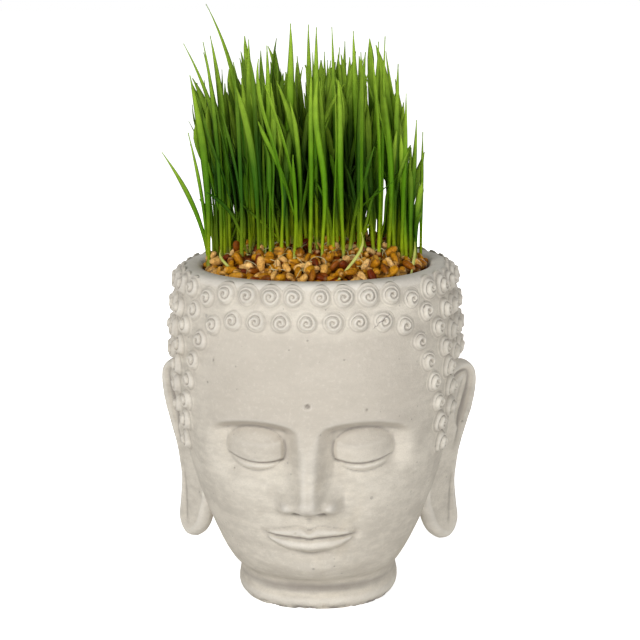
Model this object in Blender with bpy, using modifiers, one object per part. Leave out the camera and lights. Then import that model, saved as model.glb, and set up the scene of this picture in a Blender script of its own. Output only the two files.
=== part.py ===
"""A cast-concrete head planter filled with growing medium, sprouted grain and wheatgrass.

Metres, +Z up. The origin is the centre of the object's box on the surface it stands on, and the face looks
along -Y. The casting's face is a plain one on the classical canon: three equal thirds from hairline to chin,
and five eye widths across.
"""

import math
import random

import bmesh
import bpy
import numpy as np
from mathutils import Matrix, Vector

MM = 0.001

# The casting.
POT_HEIGHT = 180 * MM
AXIS_Y = 3.7 * MM
FLOOR_TOP = 14 * MM
DRAIN_RADIUS = 7 * MM
DRAIN_SIDES = 12
CUT_CLEAR = 5 * MM
SQUARENESS = 2.25
HEAD_STATIONS = (
    # height, half width, depth to the front, depth to the back
    (0, 40.5, 43.0, 43.5),
    (2.5, 42.5, 45.0, 45.5),
    (14, 42.5, 45.5, 46.0),
    (18, 43.5, 49.0, 46.5),
    (23, 46.5, 58.5, 47.0),
    (30, 50.5, 65.0, 48.0),
    (40, 55.5, 67.5, 50.5),
    (52, 60.5, 69.5, 56.0),
    (66, 65.5, 72.0, 63.0),
    (80, 69.0, 74.0, 69.0),
    (95, 71.5, 75.5, 73.5),
    (110, 73.2, 77.0, 76.5),
    (125, 74.6, 78.0, 78.0),
    (140, 75.2, 77.8, 78.0),
    (155, 74.6, 76.5, 76.8),
    (168, 73.0, 74.5, 74.6),
    (176, 71.6, 72.8, 72.8),
    (180, 69.8, 71.0, 71.0),
)
CAVITY_STATIONS = (
    # height, radius
    (14, 30.0),
    (38, 42.5),
    (65, 51.0),
    (100, 58.0),
    (140, 60.5),
    (178.5, 60.5),
    (180, 61.6),
)

# How finely the casting is laid out, and the share of its triangles that is kept where they matter most.
FINE_ROWS = 64
FINE_COLUMNS = 34
KEPT_SHARE = 0.2

# The canon of the face.
HAIRLINE_Z = 150 * MM
CHIN_Z = 20 * MM
THIRD = (HAIRLINE_Z - CHIN_Z) / 3
BROW_Z = HAIRLINE_Z - THIRD
NOSE_BASE_Z = BROW_Z - THIRD
MOUTH_Z = NOSE_BASE_Z - THIRD / 3
EYE_Z = BROW_Z - 0.28 * THIRD
FACE_WIDTH = 137 * MM
EYE_WIDTH = FACE_WIDTH / 5
MOUTH_HALF = 0.82 * EYE_WIDTH
NOSE_STATIONS = (
    # height, rise of the ridge, half width of the ridge
    (59.0, 0.0, 7.8),
    (62.0, 3.0, 8.0),
    (64.5, 11.0, 7.8),
    (68.5, 15.4, 7.5),
    (74.0, 13.8, 6.8),
    (84.0, 9.2, 6.0),
    (94.0, 5.4, 5.6),
    (102.0, 2.8, 6.2),
    (112.0, 0.8, 7.5),
    (120.0, 0.0, 8.0),
)

# The hair: snail curls in rows.
CURL_RADIUS = 6.9 * MM
CURL_HEIGHT = 3.4 * MM
CURL_TOP = 3.8 * MM
CURL_SUNK = 2.0 * MM
CURL_SIDES = 5
CURL_GAP = 11.8 * MM
CURL_PITCH = 13.3 * MM
LEVEL_PITCH = 13.8 * MM
LEVEL_ROWS = 10
ROW_PITCH = 12.3 * MM
TOP_ROW_Z = 173.2 * MM
NAPE_Z = 56 * MM
HAIR_EDGE_ROW = ((0, 160.8), (26, 160.8), (37, 158), (46, 147.5), (53, 132), (59, 115.5), (65, 98), (67.5, 90))
HAIR_SECOND_ROW = ((0, 173.2), (30, 173.2), (41, 169), (53, 155.5), (61, 138), (67, 121.5), (71, 107))
EAR_ZONE_DEG = (75, 109)
EAR_ZONE_TOP = 128 * MM
SECOND_ROW_GAP = 10.6 * MM

# The ears: an outline of (distance from the root, height), hollowed by one bowl and swept back.
EAR_OUTLINE = (
    (-8, 112), (4, 120), (15, 125), (25, 124.5), (31, 119), (32, 110), (28.5, 98), (22, 86), (17, 73),
    (14.5, 60), (15.5, 48), (16.5, 38), (13.5, 31), (8, 27.2), (2, 28.5), (-5, 34), (-10, 43), (-14, 60),
)
EAR_THICKNESS = 9 * MM
EAR_ROOT_X = 64 * MM
EAR_ROOT_Y = -8 * MM
EAR_SWEEP_DEG = 52
EAR_BOWL_AT = (21.5 * MM, 106 * MM)
EAR_BOWL_SIZE = (6, 5, 13)
EAR_BOWL_OUT = 0.7 * MM
EAR_BOWL_TILT_DEG = 14

# What fills the planter.
FILL_SIDES = 28
BED_SIDES = 20
FILL_GAP = 0.35 * MM
SOIL_TOP = 163 * MM
MAT_BOTTOM = 163.4 * MM
MAT_TOP = 169 * MM
CRUST_BOTTOM = 169.4 * MM
CRUST_EDGE_TOP = 177.3 * MM
CRUST_CROWN_TOP = 190 * MM
CRUST_RADIUS = 59.6 * MM
BUNCHES = 37
STAND_HALF_WIDTH = 52.5 * MM
STAND_HALF_DEPTH = 43 * MM
STAND_SET_BACK = 9 * MM
HOLE_RADIUS = 5.0 * MM
HOLE_SIDES = 5
HOLE_CUT_DEPTH = 60 * MM
BLADES_PER_BUNCH = 5
STRAY_BLADES = (
    # where it grows, where its tip is, how high that is
    ((-53, -4), (-79, -12), 240),
    ((-46, -6), (-69, -10), 296),
    ((-30, -10), (-54, -14), 316),
    ((54, 4), (57, 2), 249),
)
ROOT_SPREAD = 1.8 * MM
TIP_SPREAD = 4.4 * MM
BLADE_KEEL = 0.78
BLADE_HALF_WIDTHS = (1.4 * MM, 1.8 * MM)
BLADE_SECTIONS = ((0, 0.62), (0.45, 1), (0.8, 0.72))
BLADE_LEAN_CURVE = 1.7
STRAY_LEAN_CURVE = 2.4
ROOT_SUNK = 1 * MM
STAND_HEIGHT = 288 * MM
STAND_FALL = 48 * MM
STAND_FALL_FROM = 34 * MM
STAND_FALL_TO = 62 * MM
STAND_SPREAD = 11 * MM
TALLEST = 304 * MM
LEFT_LEAN = 9 * MM
RIGHT_LEAN = 3 * MM
TIP_STRAY = 1.2 * MM
GRAIN_SIZE = (2.6, 4.6, 3.4)
GRAIN_COUNT = 98
GRAIN_CLEAR = 2.2 * MM
GRAIN_GAP = 5.6 * MM
GRAIN_SINK = 0.6 * MM
GRAIN_TILT = 0.3
SEED = 11


def clear_scene():
    for obj in list(bpy.data.objects):
        bpy.data.objects.remove(obj, do_unlink=True)


def new_collection(name):
    made = bpy.data.collections.new(name)
    bpy.context.scene.collection.children.link(made)
    return made


def material(name, colour, roughness, metallic=0.0):
    made = bpy.data.materials.new(name)
    made.use_nodes = True
    shader = made.node_tree.nodes["Principled BSDF"]
    shader.inputs["Base Color"].default_value = (*colour, 1.0)
    shader.inputs["Roughness"].default_value = roughness
    shader.inputs["Metallic"].default_value = metallic
    return made


def smoothstep(low, high, value):
    """0 below the low end, 1 above the high end, and a smooth rise between them."""
    u = np.clip((value - low) / (high - low), 0, 1)
    return u * u * (3 - 2 * u)


def bump(x, z, at_x, at_z, wide, tall):
    """A soft round swelling of height 1 at one place on the face."""
    return np.exp(-(((x - at_x) / wide) ** 2) - ((z - at_z) / tall) ** 2)


def smooth_through(stations, column, z):
    """A smooth curve through one column of stations given in millimetres, read at the height z in metres."""
    heights = np.array([row[0] for row in stations]) * MM
    values = np.array([row[column] for row in stations]) * MM
    slopes = np.gradient(values, heights)
    z = np.clip(z, heights[0], heights[-1])
    i = np.clip(np.searchsorted(heights, z, side="right") - 1, 0, len(heights) - 2)
    span = heights[i + 1] - heights[i]
    u = (z - heights[i]) / span
    return (
        (2 * u**3 - 3 * u**2 + 1) * values[i]
        + (u**3 - 2 * u**2 + u) * span * slopes[i]
        + (3 * u**2 - 2 * u**3) * values[i + 1]
        + (u**3 - u**2) * span * slopes[i + 1]
    )


def eye_relief(side, z):
    """Brow, socket and closed lids, for one distance from the middle of the face."""
    arch = BROW_Z + 4.5 * MM * (1 - ((side - 27 * MM) / (24 * MM)) ** 2)
    across = smoothstep(4 * MM, 13 * MM, side) * (1 - smoothstep(40 * MM, 55 * MM, side))
    socket = smoothstep(0, 6 * MM, arch - z) * smoothstep(72 * MM, 90 * MM, z)
    ridge = np.exp(-(((z - arch - 1.5 * MM) / (4 * MM)) ** 2))
    ball = np.clip(1 - ((side - EYE_WIDTH) / (15.5 * MM)) ** 2 - ((z - EYE_Z) / (11.5 * MM)) ** 2, 0, 1)
    u = (side - EYE_WIDTH) / (EYE_WIDTH / 2)
    lid = EYE_Z - 4.2 * MM - 2.2 * MM * (1 - u**2) + 0.7 * MM * u
    within = 1 - smoothstep(0.92, 1.12, np.abs(u))
    upper_lid = smoothstep(-0.4 * MM, 0.4 * MM, z - lid) * (1 - smoothstep(9 * MM, 12 * MM, z - lid))
    slit = np.exp(-(((z - lid + 0.6 * MM) / (0.8 * MM)) ** 2))
    lower_rim = np.exp(-(((z - lid + 3.0 * MM) / (1.3 * MM)) ** 2))
    return (
        -7.0 * MM * socket * across
        + 1.5 * MM * ridge * across
        + 6.4 * MM * ball**0.8
        + (1.1 * MM * upper_lid - 1.3 * MM * slit + 0.5 * MM * lower_rim) * within
    )


def nose_relief(side, z):
    rise = np.maximum(smooth_through(NOSE_STATIONS, 1, z), 0)
    half = smooth_through(NOSE_STATIONS, 2, z)
    inside = (z > NOSE_STATIONS[0][0] * MM) & (z < NOSE_STATIONS[-1][0] * MM)
    ridge = np.where(inside, rise, 0) / (1 + (side / half) ** 3.2)
    wing = 7.0 * MM * bump(side, z, 11.8 * MM, 67.0 * MM, 4.2 * MM, 4.6 * MM)
    wing_crease = -1.3 * MM * bump(side, z, 17.0 * MM, 69.5 * MM, 2.2 * MM, 5.0 * MM)
    nostril = -3.6 * MM * bump(side, z, 6.2 * MM, 62.6 * MM, 2.8 * MM, 1.6 * MM)
    return ridge + wing + wing_crease + nostril


def mouth_relief(side, z):
    u = side / MOUTH_HALF
    taper = np.clip(1 - u**2, 0, 1)
    peak = 0.5 * MM * np.exp(-(((side - 5.5 * MM) / (4 * MM)) ** 2))
    dip = 1.3 * MM * np.exp(-((side / (2.8 * MM)) ** 2))
    bow = peak - dip
    line = MOUTH_Z + 1.2 * MM * u**2 - 0.7 * MM * np.exp(-((side / (3 * MM)) ** 2))
    upper = np.maximum(6.4 * MM * taper**0.7 + bow * taper, 0.05 * MM)
    lower = np.maximum(8.2 * MM * taper**0.6, 0.05 * MM)
    within = 1 - smoothstep(0.9, 1.06, u)
    upper_lip = np.sin(np.pi * np.clip((z - line) / upper, 0, 1)) ** 0.8
    lower_lip = np.sin(np.pi * np.clip((line - z) / lower, 0, 1)) ** 0.8
    parting = np.exp(-(((z - line) / (0.9 * MM)) ** 2))
    muzzle = bump(side, z, 0, MOUTH_Z, 25 * MM, 15 * MM)
    corner = bump(side, z, MOUTH_HALF + 1 * MM, MOUTH_Z + 1.2 * MM, 2.6 * MM, 2.4 * MM)
    under_nose = smoothstep(54 * MM, 57 * MM, z) * (1 - smoothstep(59 * MM, 62 * MM, z))
    groove = np.exp(-((side / (2.4 * MM)) ** 2)) * under_nose
    return (
        4.0 * MM * muzzle
        + (2.4 * MM * upper_lip + 3.2 * MM * lower_lip) * taper**0.5 * within
        - 1.4 * MM * parting * within
        - 1.6 * MM * corner
        - 1.0 * MM * groove
    )


def cheek_and_chin_relief(side, z):
    return (
        4.4 * MM * bump(side, z, 0, 29 * MM, 14 * MM, 8.5 * MM)
        - 2.6 * MM * bump(side, z, 0, 39.2 * MM, 14 * MM, 3.6 * MM)
        + 3.2 * MM * bump(side, z, 36 * MM, 67 * MM, 16 * MM, 17 * MM)
        + 1.4 * MM * bump(side, z, 47 * MM, 86 * MM, 12 * MM, 8 * MM)
        - 1.0 * MM * bump(side, z, 24 * MM, 58 * MM, 4 * MM, 7 * MM)
        + 1.2 * MM * bump(side, z, 0, 132 * MM, 40 * MM, 16 * MM)
    )


def face_relief(x, z):
    """How far the face stands out towards -Y from the plain head, at a place on it seen from the front."""
    side = np.abs(x)
    return (
        eye_relief(side, z)
        + nose_relief(side, z)
        + mouth_relief(side, z)
        + cheek_and_chin_relief(side, z)
    )


def head_point(turn, z):
    """The head's skin: turn is 0 at the middle of the face and a right angle at the ears."""
    turn = np.asarray(turn, float)
    z = np.asarray(z, float)
    half_width = smooth_through(HEAD_STATIONS, 1, z)
    front = smooth_through(HEAD_STATIONS, 2, z)
    back = smooth_through(HEAD_STATIONS, 3, z)
    c, s = np.cos(turn), np.sin(turn)
    power = 2 / SQUARENESS
    x = half_width * np.sign(s) * np.abs(s) ** power
    y = -np.where(c > 0, front, back) * np.sign(c) * np.abs(c) ** power
    at_height = smoothstep(17 * MM, 24 * MM, z) * (1 - smoothstep(148 * MM, 154 * MM, z))
    facing = smoothstep(0.15, 0.5, c) * at_height
    return np.stack([x, AXIS_Y + y - face_relief(x, z) * facing, z + 0 * x], axis=-1)


def head_normal(turn, z):
    step = 0.5 * MM
    around = head_point(turn + 0.005, z) - head_point(turn - 0.005, z)
    up = head_point(turn, z + step) - head_point(turn, z - step)
    normal = np.cross(around, up)
    return normal / np.linalg.norm(normal)


def along_surface(corners, pitch):
    """Turns and heights evenly spaced along a row that is given by a few (degrees, millimetres) corners."""
    corners = np.array(corners, float)
    share = np.linspace(0, 1, 400)
    at = np.linspace(0, 1, len(corners))
    turns = np.radians(np.interp(share, at, corners[:, 0]))
    heights = np.interp(share, at, corners[:, 1]) * MM
    points = head_point(turns, heights)
    run = np.concatenate([[0], np.cumsum(np.linalg.norm(np.diff(points, axis=0), axis=1))])
    count = max(1, round(run[-1] / pitch))
    wanted = np.linspace(0, run[-1], count + 1)
    return [(float(np.interp(w, run, turns)), float(np.interp(w, run, heights))) for w in wanted]


def outside_hair(turn, z):
    degrees = abs(math.degrees(turn))
    if EAR_ZONE_DEG[0] < degrees < EAR_ZONE_DEG[1] and z < EAR_ZONE_TOP:
        return True
    if degrees <= EAR_ZONE_DEG[0]:
        edge_turns, edge_heights = zip(*HAIR_EDGE_ROW)
        return z < np.interp(degrees, edge_turns, edge_heights) * MM
    return z < NAPE_Z


def curl_places():
    """(turn, height) of every curl: two rows that follow the hairline down to the temples, then level rows
    spaced evenly from there, or from behind the ears, to the middle of the back."""
    edge = along_surface(HAIR_EDGE_ROW, CURL_PITCH)
    second = along_surface(HAIR_SECOND_ROW, CURL_PITCH)
    half = (edge[1][0] - edge[0][0]) / 2
    places = list(edge)
    kept = [head_point(*place) for place in places]

    def clears(turn, z, gap):
        point = head_point(turn, z)
        return all(np.linalg.norm(point - other) >= gap for other in kept)

    for turn, z in second:
        turn += half
        if clears(turn, z, SECOND_ROW_GAP):
            places.append((turn, z))
            kept.append(head_point(turn, z))
    for row in range(LEVEL_ROWS):
        z = TOP_ROW_Z - row * ROW_PITCH
        turn = math.radians(EAR_ZONE_DEG[1]) if z < EAR_ZONE_TOP else 0.0
        while not clears(turn, z, CURL_GAP) or outside_hair(turn, z):
            turn += 0.01
        arc = (math.pi - turn) * smooth_through(HEAD_STATIONS, 3, z)
        spare = 0.5 * (row % 2)
        steps = round(arc / LEVEL_PITCH - spare)
        level = [(turn + (math.pi - turn) * i / (steps + spare), z) for i in range(steps + 1)]
        places.extend(level)
        kept.extend(head_point(*place) for place in level)
    mirrored = [(-turn, z) for turn, z in places if 0.01 < turn < math.pi - 0.01]
    return places + mirrored


def mesh_object(name, mesh, collection):
    obj = bpy.data.objects.new(name, mesh)
    collection.objects.link(obj)
    return obj


def built(name, bm, collection):
    """The object that a bmesh describes."""
    mesh = bpy.data.meshes.new(name)
    bm.to_mesh(mesh)
    bm.free()
    return mesh_object(name, mesh, collection)


def cone(name, sides, low_radius, high_radius, depth, collection):
    bm = bmesh.new()
    bmesh.ops.create_cone(
        bm, cap_ends=True, segments=sides, radius1=low_radius, radius2=high_radius, depth=depth
    )
    return built(name, bm, collection)


def ball(name, around, up, size_mm, collection):
    """A ball with its own half size along each axis."""
    bm = bmesh.new()
    bmesh.ops.create_uvsphere(bm, u_segments=around, v_segments=up, radius=MM)
    bmesh.ops.scale(bm, verts=bm.verts, vec=size_mm)
    return built(name, bm, collection)


def lofted(name, rings, collection):
    """A closed solid through rings of points, with flat ends."""
    bm = bmesh.new()
    rows = [[bm.verts.new(point) for point in ring] for ring in rings]
    for low, high in zip(rows, rows[1:]):
        for i in range(len(low)):
            j = (i + 1) % len(low)
            bm.faces.new((low[i], low[j], high[j], high[i]))
    bm.faces.new(list(reversed(rows[0])))
    bm.faces.new(rows[-1])
    bmesh.ops.recalc_face_normals(bm, faces=bm.faces)
    return built(name, bm, collection)


def turned(name, profile, sides, collection):
    """A solid turned from a profile of (radius, height) points, from the top of the axis to its foot."""
    mesh = bpy.data.meshes.new(name)
    points = [(radius, 0, height) for radius, height in profile]
    mesh.from_pydata(points, [(i, i + 1) for i in range(len(points) - 1)], [])
    obj = mesh_object(name, mesh, collection)
    obj.location.y = AXIS_Y
    screw = obj.modifiers.new("Turn", "SCREW")
    screw.axis = "Z"
    screw.steps = sides
    screw.render_steps = sides
    screw.use_merge_vertices = True
    screw.merge_threshold = 0.00001
    apply_modifiers(obj)
    return obj


def apply_modifiers(obj):
    """Replaces the object's mesh by the evaluated one and drops its modifiers."""
    bpy.context.view_layer.update()
    graph = bpy.context.evaluated_depsgraph_get()
    mesh = bpy.data.meshes.new_from_object(obj.evaluated_get(graph))
    obj.modifiers.clear()
    obj.data = mesh


def combine(obj, tools, operation):
    """Applies one Boolean with every object of a collection, then removes them."""
    boolean = obj.modifiers.new("Combine", "BOOLEAN")
    boolean.operation = operation
    boolean.operand_type = "COLLECTION"
    boolean.collection = tools
    boolean.solver = "EXACT"
    apply_modifiers(obj)
    for tool in list(tools.objects):
        bpy.data.objects.remove(tool, do_unlink=True)
    bpy.data.collections.remove(tools)


def finish(obj, surface, sharp_deg=35):
    obj.data.materials.clear()
    obj.data.materials.append(surface)
    obj.data.shade_smooth()
    obj.data.set_sharp_from_angle(angle=math.radians(sharp_deg))
    return obj


def head_turns():
    """Close together over the face and further apart round the back, the same on both sides."""
    share = np.linspace(0, 1, FINE_COLUMNS)
    half = 180 * (0.42 * share + 0.58 * share**2.6)
    return [*half, *[-turn for turn in half[-2:0:-1]]]


def head_heights():
    """Close together over the face, with the foot, its step and the rim as they are."""
    face = np.linspace(17, 122, FINE_ROWS)
    return (0, 2.5, 14, *face, 131, 146, 160, 171, 177, 180)


def ear_slab(collection):
    """A flat slab with the ear's outline, lying along X, with a bowl sunk in the side that faces -Y."""
    curve = bpy.data.curves.new("ear_outline", "CURVE")
    curve.dimensions = "2D"
    curve.fill_mode = "BOTH"
    curve.extrude = EAR_THICKNESS / 2
    spline = curve.splines.new("POLY")
    spline.points.add(len(EAR_OUTLINE) - 1)
    for point, (along, z) in zip(spline.points, EAR_OUTLINE):
        point.co = (along * MM, z * MM, 0, 1)
    spline.use_cyclic_u = True
    guide = bpy.data.objects.new("ear_outline", curve)
    collection.objects.link(guide)
    bpy.context.view_layer.update()
    mesh = bpy.data.meshes.new_from_object(guide.evaluated_get(bpy.context.evaluated_depsgraph_get()))
    bpy.data.objects.remove(guide, do_unlink=True)
    bm = bmesh.new()
    bm.from_mesh(mesh)
    bmesh.ops.remove_doubles(bm, verts=bm.verts, dist=0.01 * MM)
    bmesh.ops.rotate(bm, verts=bm.verts, matrix=Matrix.Rotation(math.pi / 2, 3, "X"), cent=(0, 0, 0))
    bmesh.ops.recalc_face_normals(bm, faces=bm.faces)
    slab = built("ear", bm, collection)
    hollow = new_collection("ear_hollow")
    bowl = ball("ear_bowl", 8, 6, EAR_BOWL_SIZE, hollow)
    bowl.location = (EAR_BOWL_AT[0], -EAR_THICKNESS / 2 - EAR_BOWL_OUT, EAR_BOWL_AT[1])
    bowl.rotation_euler.y = math.radians(EAR_BOWL_TILT_DEG)
    combine(slab, hollow, "DIFFERENCE")
    return slab


def ear(side, collection):
    """The slab set at the side of the head, swept back from the face."""
    obj = ear_slab(collection)
    root = Matrix.Translation((EAR_ROOT_X, AXIS_Y + EAR_ROOT_Y, 0))
    obj.data.transform(root @ Matrix.Rotation(math.radians(EAR_SWEEP_DEG), 4, "Z"))
    if side < 0:
        obj.data.transform(Matrix.Scale(-1, 4, (1, 0, 0)))
        obj.data.flip_normals()
    return obj


def curl(place, collection):
    """A blunt cone that stands square on the head, with its root sunk in."""
    turn, z = place
    depth = CURL_HEIGHT + CURL_SUNK
    obj = cone("curl", CURL_SIDES, CURL_RADIUS, CURL_TOP, depth, collection)
    normal = Vector(head_normal(turn, z))
    obj.rotation_mode = "QUATERNION"
    obj.rotation_quaternion = normal.to_track_quat("Z", "Y")
    obj.location = Vector(head_point(turn, z)) + normal * (depth / 2 - CURL_SUNK)
    return obj


def head_planter(parts, surface):
    """The head with its ears and curls, hollowed from above, with a hole in the floor to drain it."""
    turns = np.radians(head_turns())
    rings = [head_point(turns, height * MM) for height in head_heights()]
    head = lofted("head_planter", rings, parts)
    thinned = head.modifiers.new("Thin out", "DECIMATE")
    thinned.ratio = KEPT_SHARE
    thinned.use_symmetry = True
    thinned.symmetry_axis = "X"
    apply_modifiers(head)
    ears = new_collection("ears")
    ear(1, ears)
    ear(-1, ears)
    combine(head, ears, "UNION")
    curls = new_collection("curls")
    for place in curl_places():
        curl(place, curls)
    combine(head, curls, "UNION")
    hollow = new_collection("hollow")
    inside = [(radius * MM, height * MM) for height, radius in reversed(CAVITY_STATIONS)]
    above = POT_HEIGHT + CUT_CLEAR
    turned("cavity", [(0, above), (inside[0][0], above), *inside, (0, FLOOR_TOP)], FILL_SIDES, hollow)
    combine(head, hollow, "DIFFERENCE")
    drain = new_collection("drain")
    high, low = FLOOR_TOP + CUT_CLEAR, -CUT_CLEAR
    turned("drain_hole", [(0, high), (DRAIN_RADIUS, high), (DRAIN_RADIUS, low), (0, low)], DRAIN_SIDES, drain)
    combine(head, drain, "DIFFERENCE")
    return finish(head, surface)


def soil(parts, surface):
    """The growing medium, which fills the hollow from its floor to just under the root mat."""
    between = [height * MM for height, _ in CAVITY_STATIONS if FLOOR_TOP < height * MM < SOIL_TOP]
    heights = [SOIL_TOP, *reversed(between), FLOOR_TOP + FILL_GAP]
    side = [(cavity_radius(z) - FILL_GAP, z) for z in heights]
    profile = [(0, heights[0]), *side, (0, heights[-1])]
    return finish(turned("soil", profile, FILL_SIDES, parts), surface)


def cavity_radius(z):
    """The cavity's radius at a height, on the straight lines between its stations."""
    heights, radii = np.array(CAVITY_STATIONS).T * MM
    return float(np.interp(z, heights, radii))


def bunch_places():
    """Centres of the bunches, on a sunflower spiral over an oval of the bed that is set back from the face."""
    golden = math.pi * (3 - math.sqrt(5))
    for i in range(BUNCHES):
        share = math.sqrt((i + 0.5) / BUNCHES)
        x = STAND_HALF_WIDTH * share * math.cos(i * golden)
        y = STAND_HALF_DEPTH * share * math.sin(i * golden)
        yield Vector((x, AXIS_Y + STAND_SET_BACK + y, 0))


def crust_top(x, y):
    """The bed's top is a low cone: highest at the middle, lower against the rim."""
    share = math.hypot(x, y - AXIS_Y) / CRUST_RADIUS
    return CRUST_CROWN_TOP - (CRUST_CROWN_TOP - CRUST_EDGE_TOP) * share


def grain_bed(parts, surface):
    """Swollen grains knitted into one crust, with a plain hole for each bunch of blades."""
    edge = [(CRUST_RADIUS, CRUST_EDGE_TOP), (CRUST_RADIUS, CRUST_BOTTOM)]
    bed = turned("grain_bed", [(0, CRUST_CROWN_TOP), *edge, (0, CRUST_BOTTOM)], BED_SIDES, parts)
    draw = random.Random(SEED)
    holes = list(bunch_places())
    grains = new_collection("grains")
    placed = []
    tries = 0
    while len(placed) < GRAIN_COUNT and tries < 20000:
        tries += 1
        radius = (CRUST_RADIUS - GRAIN_SIZE[1] * MM) * math.sqrt(draw.random())
        angle = draw.uniform(0, 2 * math.pi)
        x = radius * math.cos(angle)
        y = AXIS_Y + radius * math.sin(angle)
        spot = Vector((x, y, 0))
        if min((spot - hole).length for hole in holes) < HOLE_RADIUS + GRAIN_CLEAR:
            continue
        if placed and min((spot - other).length for other in placed) < GRAIN_GAP:
            continue
        placed.append(spot)
        grain = ball("grain", 4, 2, GRAIN_SIZE, grains)
        grain.location = (x, y, crust_top(x, y) - GRAIN_SINK)
        tilt = [draw.uniform(-GRAIN_TILT, GRAIN_TILT) for _ in range(2)]
        grain.rotation_euler = (*tilt, draw.uniform(0, math.pi))
    combine(bed, grains, "UNION")
    cuts = new_collection("blade_holes")
    for hole in holes:
        cut = cone("blade_hole", HOLE_SIDES, HOLE_RADIUS, HOLE_RADIUS, HOLE_CUT_DEPTH, cuts)
        cut.location = (hole.x, hole.y, CRUST_BOTTOM)
    combine(bed, cuts, "DIFFERENCE")
    return finish(bed, surface)


def stand_height(x):
    """How high the tips reach: an even stand that falls off towards +X."""
    return STAND_HEIGHT - STAND_FALL * float(smoothstep(STAND_FALL_FROM, STAND_FALL_TO, x))


def blade(root, aim, height, half_width, face_turn, lean_curve, collection):
    """One blade: three-sided, widest at its middle, leaning from its root to its aim, with a pointed tip."""
    across = Vector((math.cos(face_turn), math.sin(face_turn), 0))
    out = Vector((-across.y, across.x, 0))
    bm = bmesh.new()
    rows = []
    for share, width_share in BLADE_SECTIONS:
        middle = root.lerp(Vector((aim.x, aim.y, root.z)), share**lean_curve)
        middle.z = root.z + share * (height - root.z)
        half = half_width * width_share
        ring = (middle - across * half, middle + across * half, middle + out * half * BLADE_KEEL)
        rows.append([bm.verts.new(point) for point in ring])
    tip = bm.verts.new((aim.x, aim.y, height))
    for low, high in zip(rows, rows[1:]):
        for i in range(3):
            j = (i + 1) % 3
            bm.faces.new((low[i], low[j], high[j], high[i]))
    for i in range(3):
        bm.faces.new((rows[-1][i], rows[-1][(i + 1) % 3], tip))
    bm.faces.new(list(reversed(rows[0])))
    bmesh.ops.recalc_face_normals(bm, faces=bm.faces)
    return built("blade", bm, collection)


def wheatgrass(parts, surface):
    """Blades in bunches of a few, each bunch through its own hole in the grain bed, all from one root mat."""
    edge = [(CRUST_RADIUS, MAT_TOP), (CRUST_RADIUS, MAT_BOTTOM)]
    grass = turned("wheatgrass", [(0, MAT_TOP), *edge, (0, MAT_BOTTOM)], BED_SIDES, parts)
    draw = random.Random(SEED + 1)
    blades = new_collection("blades")
    for centre in bunch_places():
        first = draw.uniform(0, 2 * math.pi)
        for i in range(BLADES_PER_BUNCH):
            middle = i == BLADES_PER_BUNCH - 1
            angle = first + i * 2 * math.pi / (BLADES_PER_BUNCH - 1)
            way = Vector((0, 0, 0)) if middle else Vector((math.cos(angle), math.sin(angle), 0))
            root = centre + way * ROOT_SPREAD
            root.z = MAT_TOP - ROOT_SUNK
            lean = (LEFT_LEAN if centre.x < 0 else RIGHT_LEAN) * centre.x / STAND_HALF_WIDTH
            stray = Vector((draw.gauss(0, TIP_STRAY) + lean, draw.gauss(0, TIP_STRAY), 0))
            aim = centre + way * TIP_SPREAD + stray
            height = min(stand_height(aim.x) + draw.gauss(0, STAND_SPREAD), TALLEST)
            face_turn = angle + math.pi / 2 + draw.gauss(0, 0.3)
            blade(root, aim, height, draw.uniform(*BLADE_HALF_WIDTHS), face_turn, BLADE_LEAN_CURVE, blades)
    for spot, tip, height in STRAY_BLADES:
        wanted = Vector((*spot, 0)) * MM
        root = min(bunch_places(), key=lambda centre: (centre - wanted).length)
        root.z = MAT_TOP - ROOT_SUNK
        aim = Vector((*tip, 0)) * MM
        half_width, face_turn = draw.uniform(*BLADE_HALF_WIDTHS), draw.uniform(0, math.pi)
        blade(root, aim, height * MM, half_width, face_turn, STRAY_LEAN_CURVE, blades)
    combine(grass, blades, "UNION")
    return finish(grass, surface)


def main():
    clear_scene()
    parts = new_collection("wheatgrass_pot")
    concrete = material("cast_concrete", (0.60, 0.57, 0.52), 0.9)
    earth = material("growing_medium", (0.06, 0.04, 0.025), 0.95)
    grain = material("sprouted_grain", (0.48, 0.24, 0.09), 0.55)
    leaf = material("grass_blade", (0.13, 0.30, 0.03), 0.45)
    head_planter(parts, concrete)
    soil(parts, earth)
    grain_bed(parts, grain)
    wheatgrass(parts, leaf)


main()
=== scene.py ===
"""A cast-concrete head planter full of sprouted grain, with a stand of wheatgrass growing out of it.

Every piece is made in metres, +Z up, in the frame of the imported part: the face looks along -Y.
"""

import math
import random

import bpy
import numpy as np
from bpy.props import FloatProperty, FloatVectorProperty, IntProperty, PointerProperty
from mathutils import Matrix, Vector, geometry, noise


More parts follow.
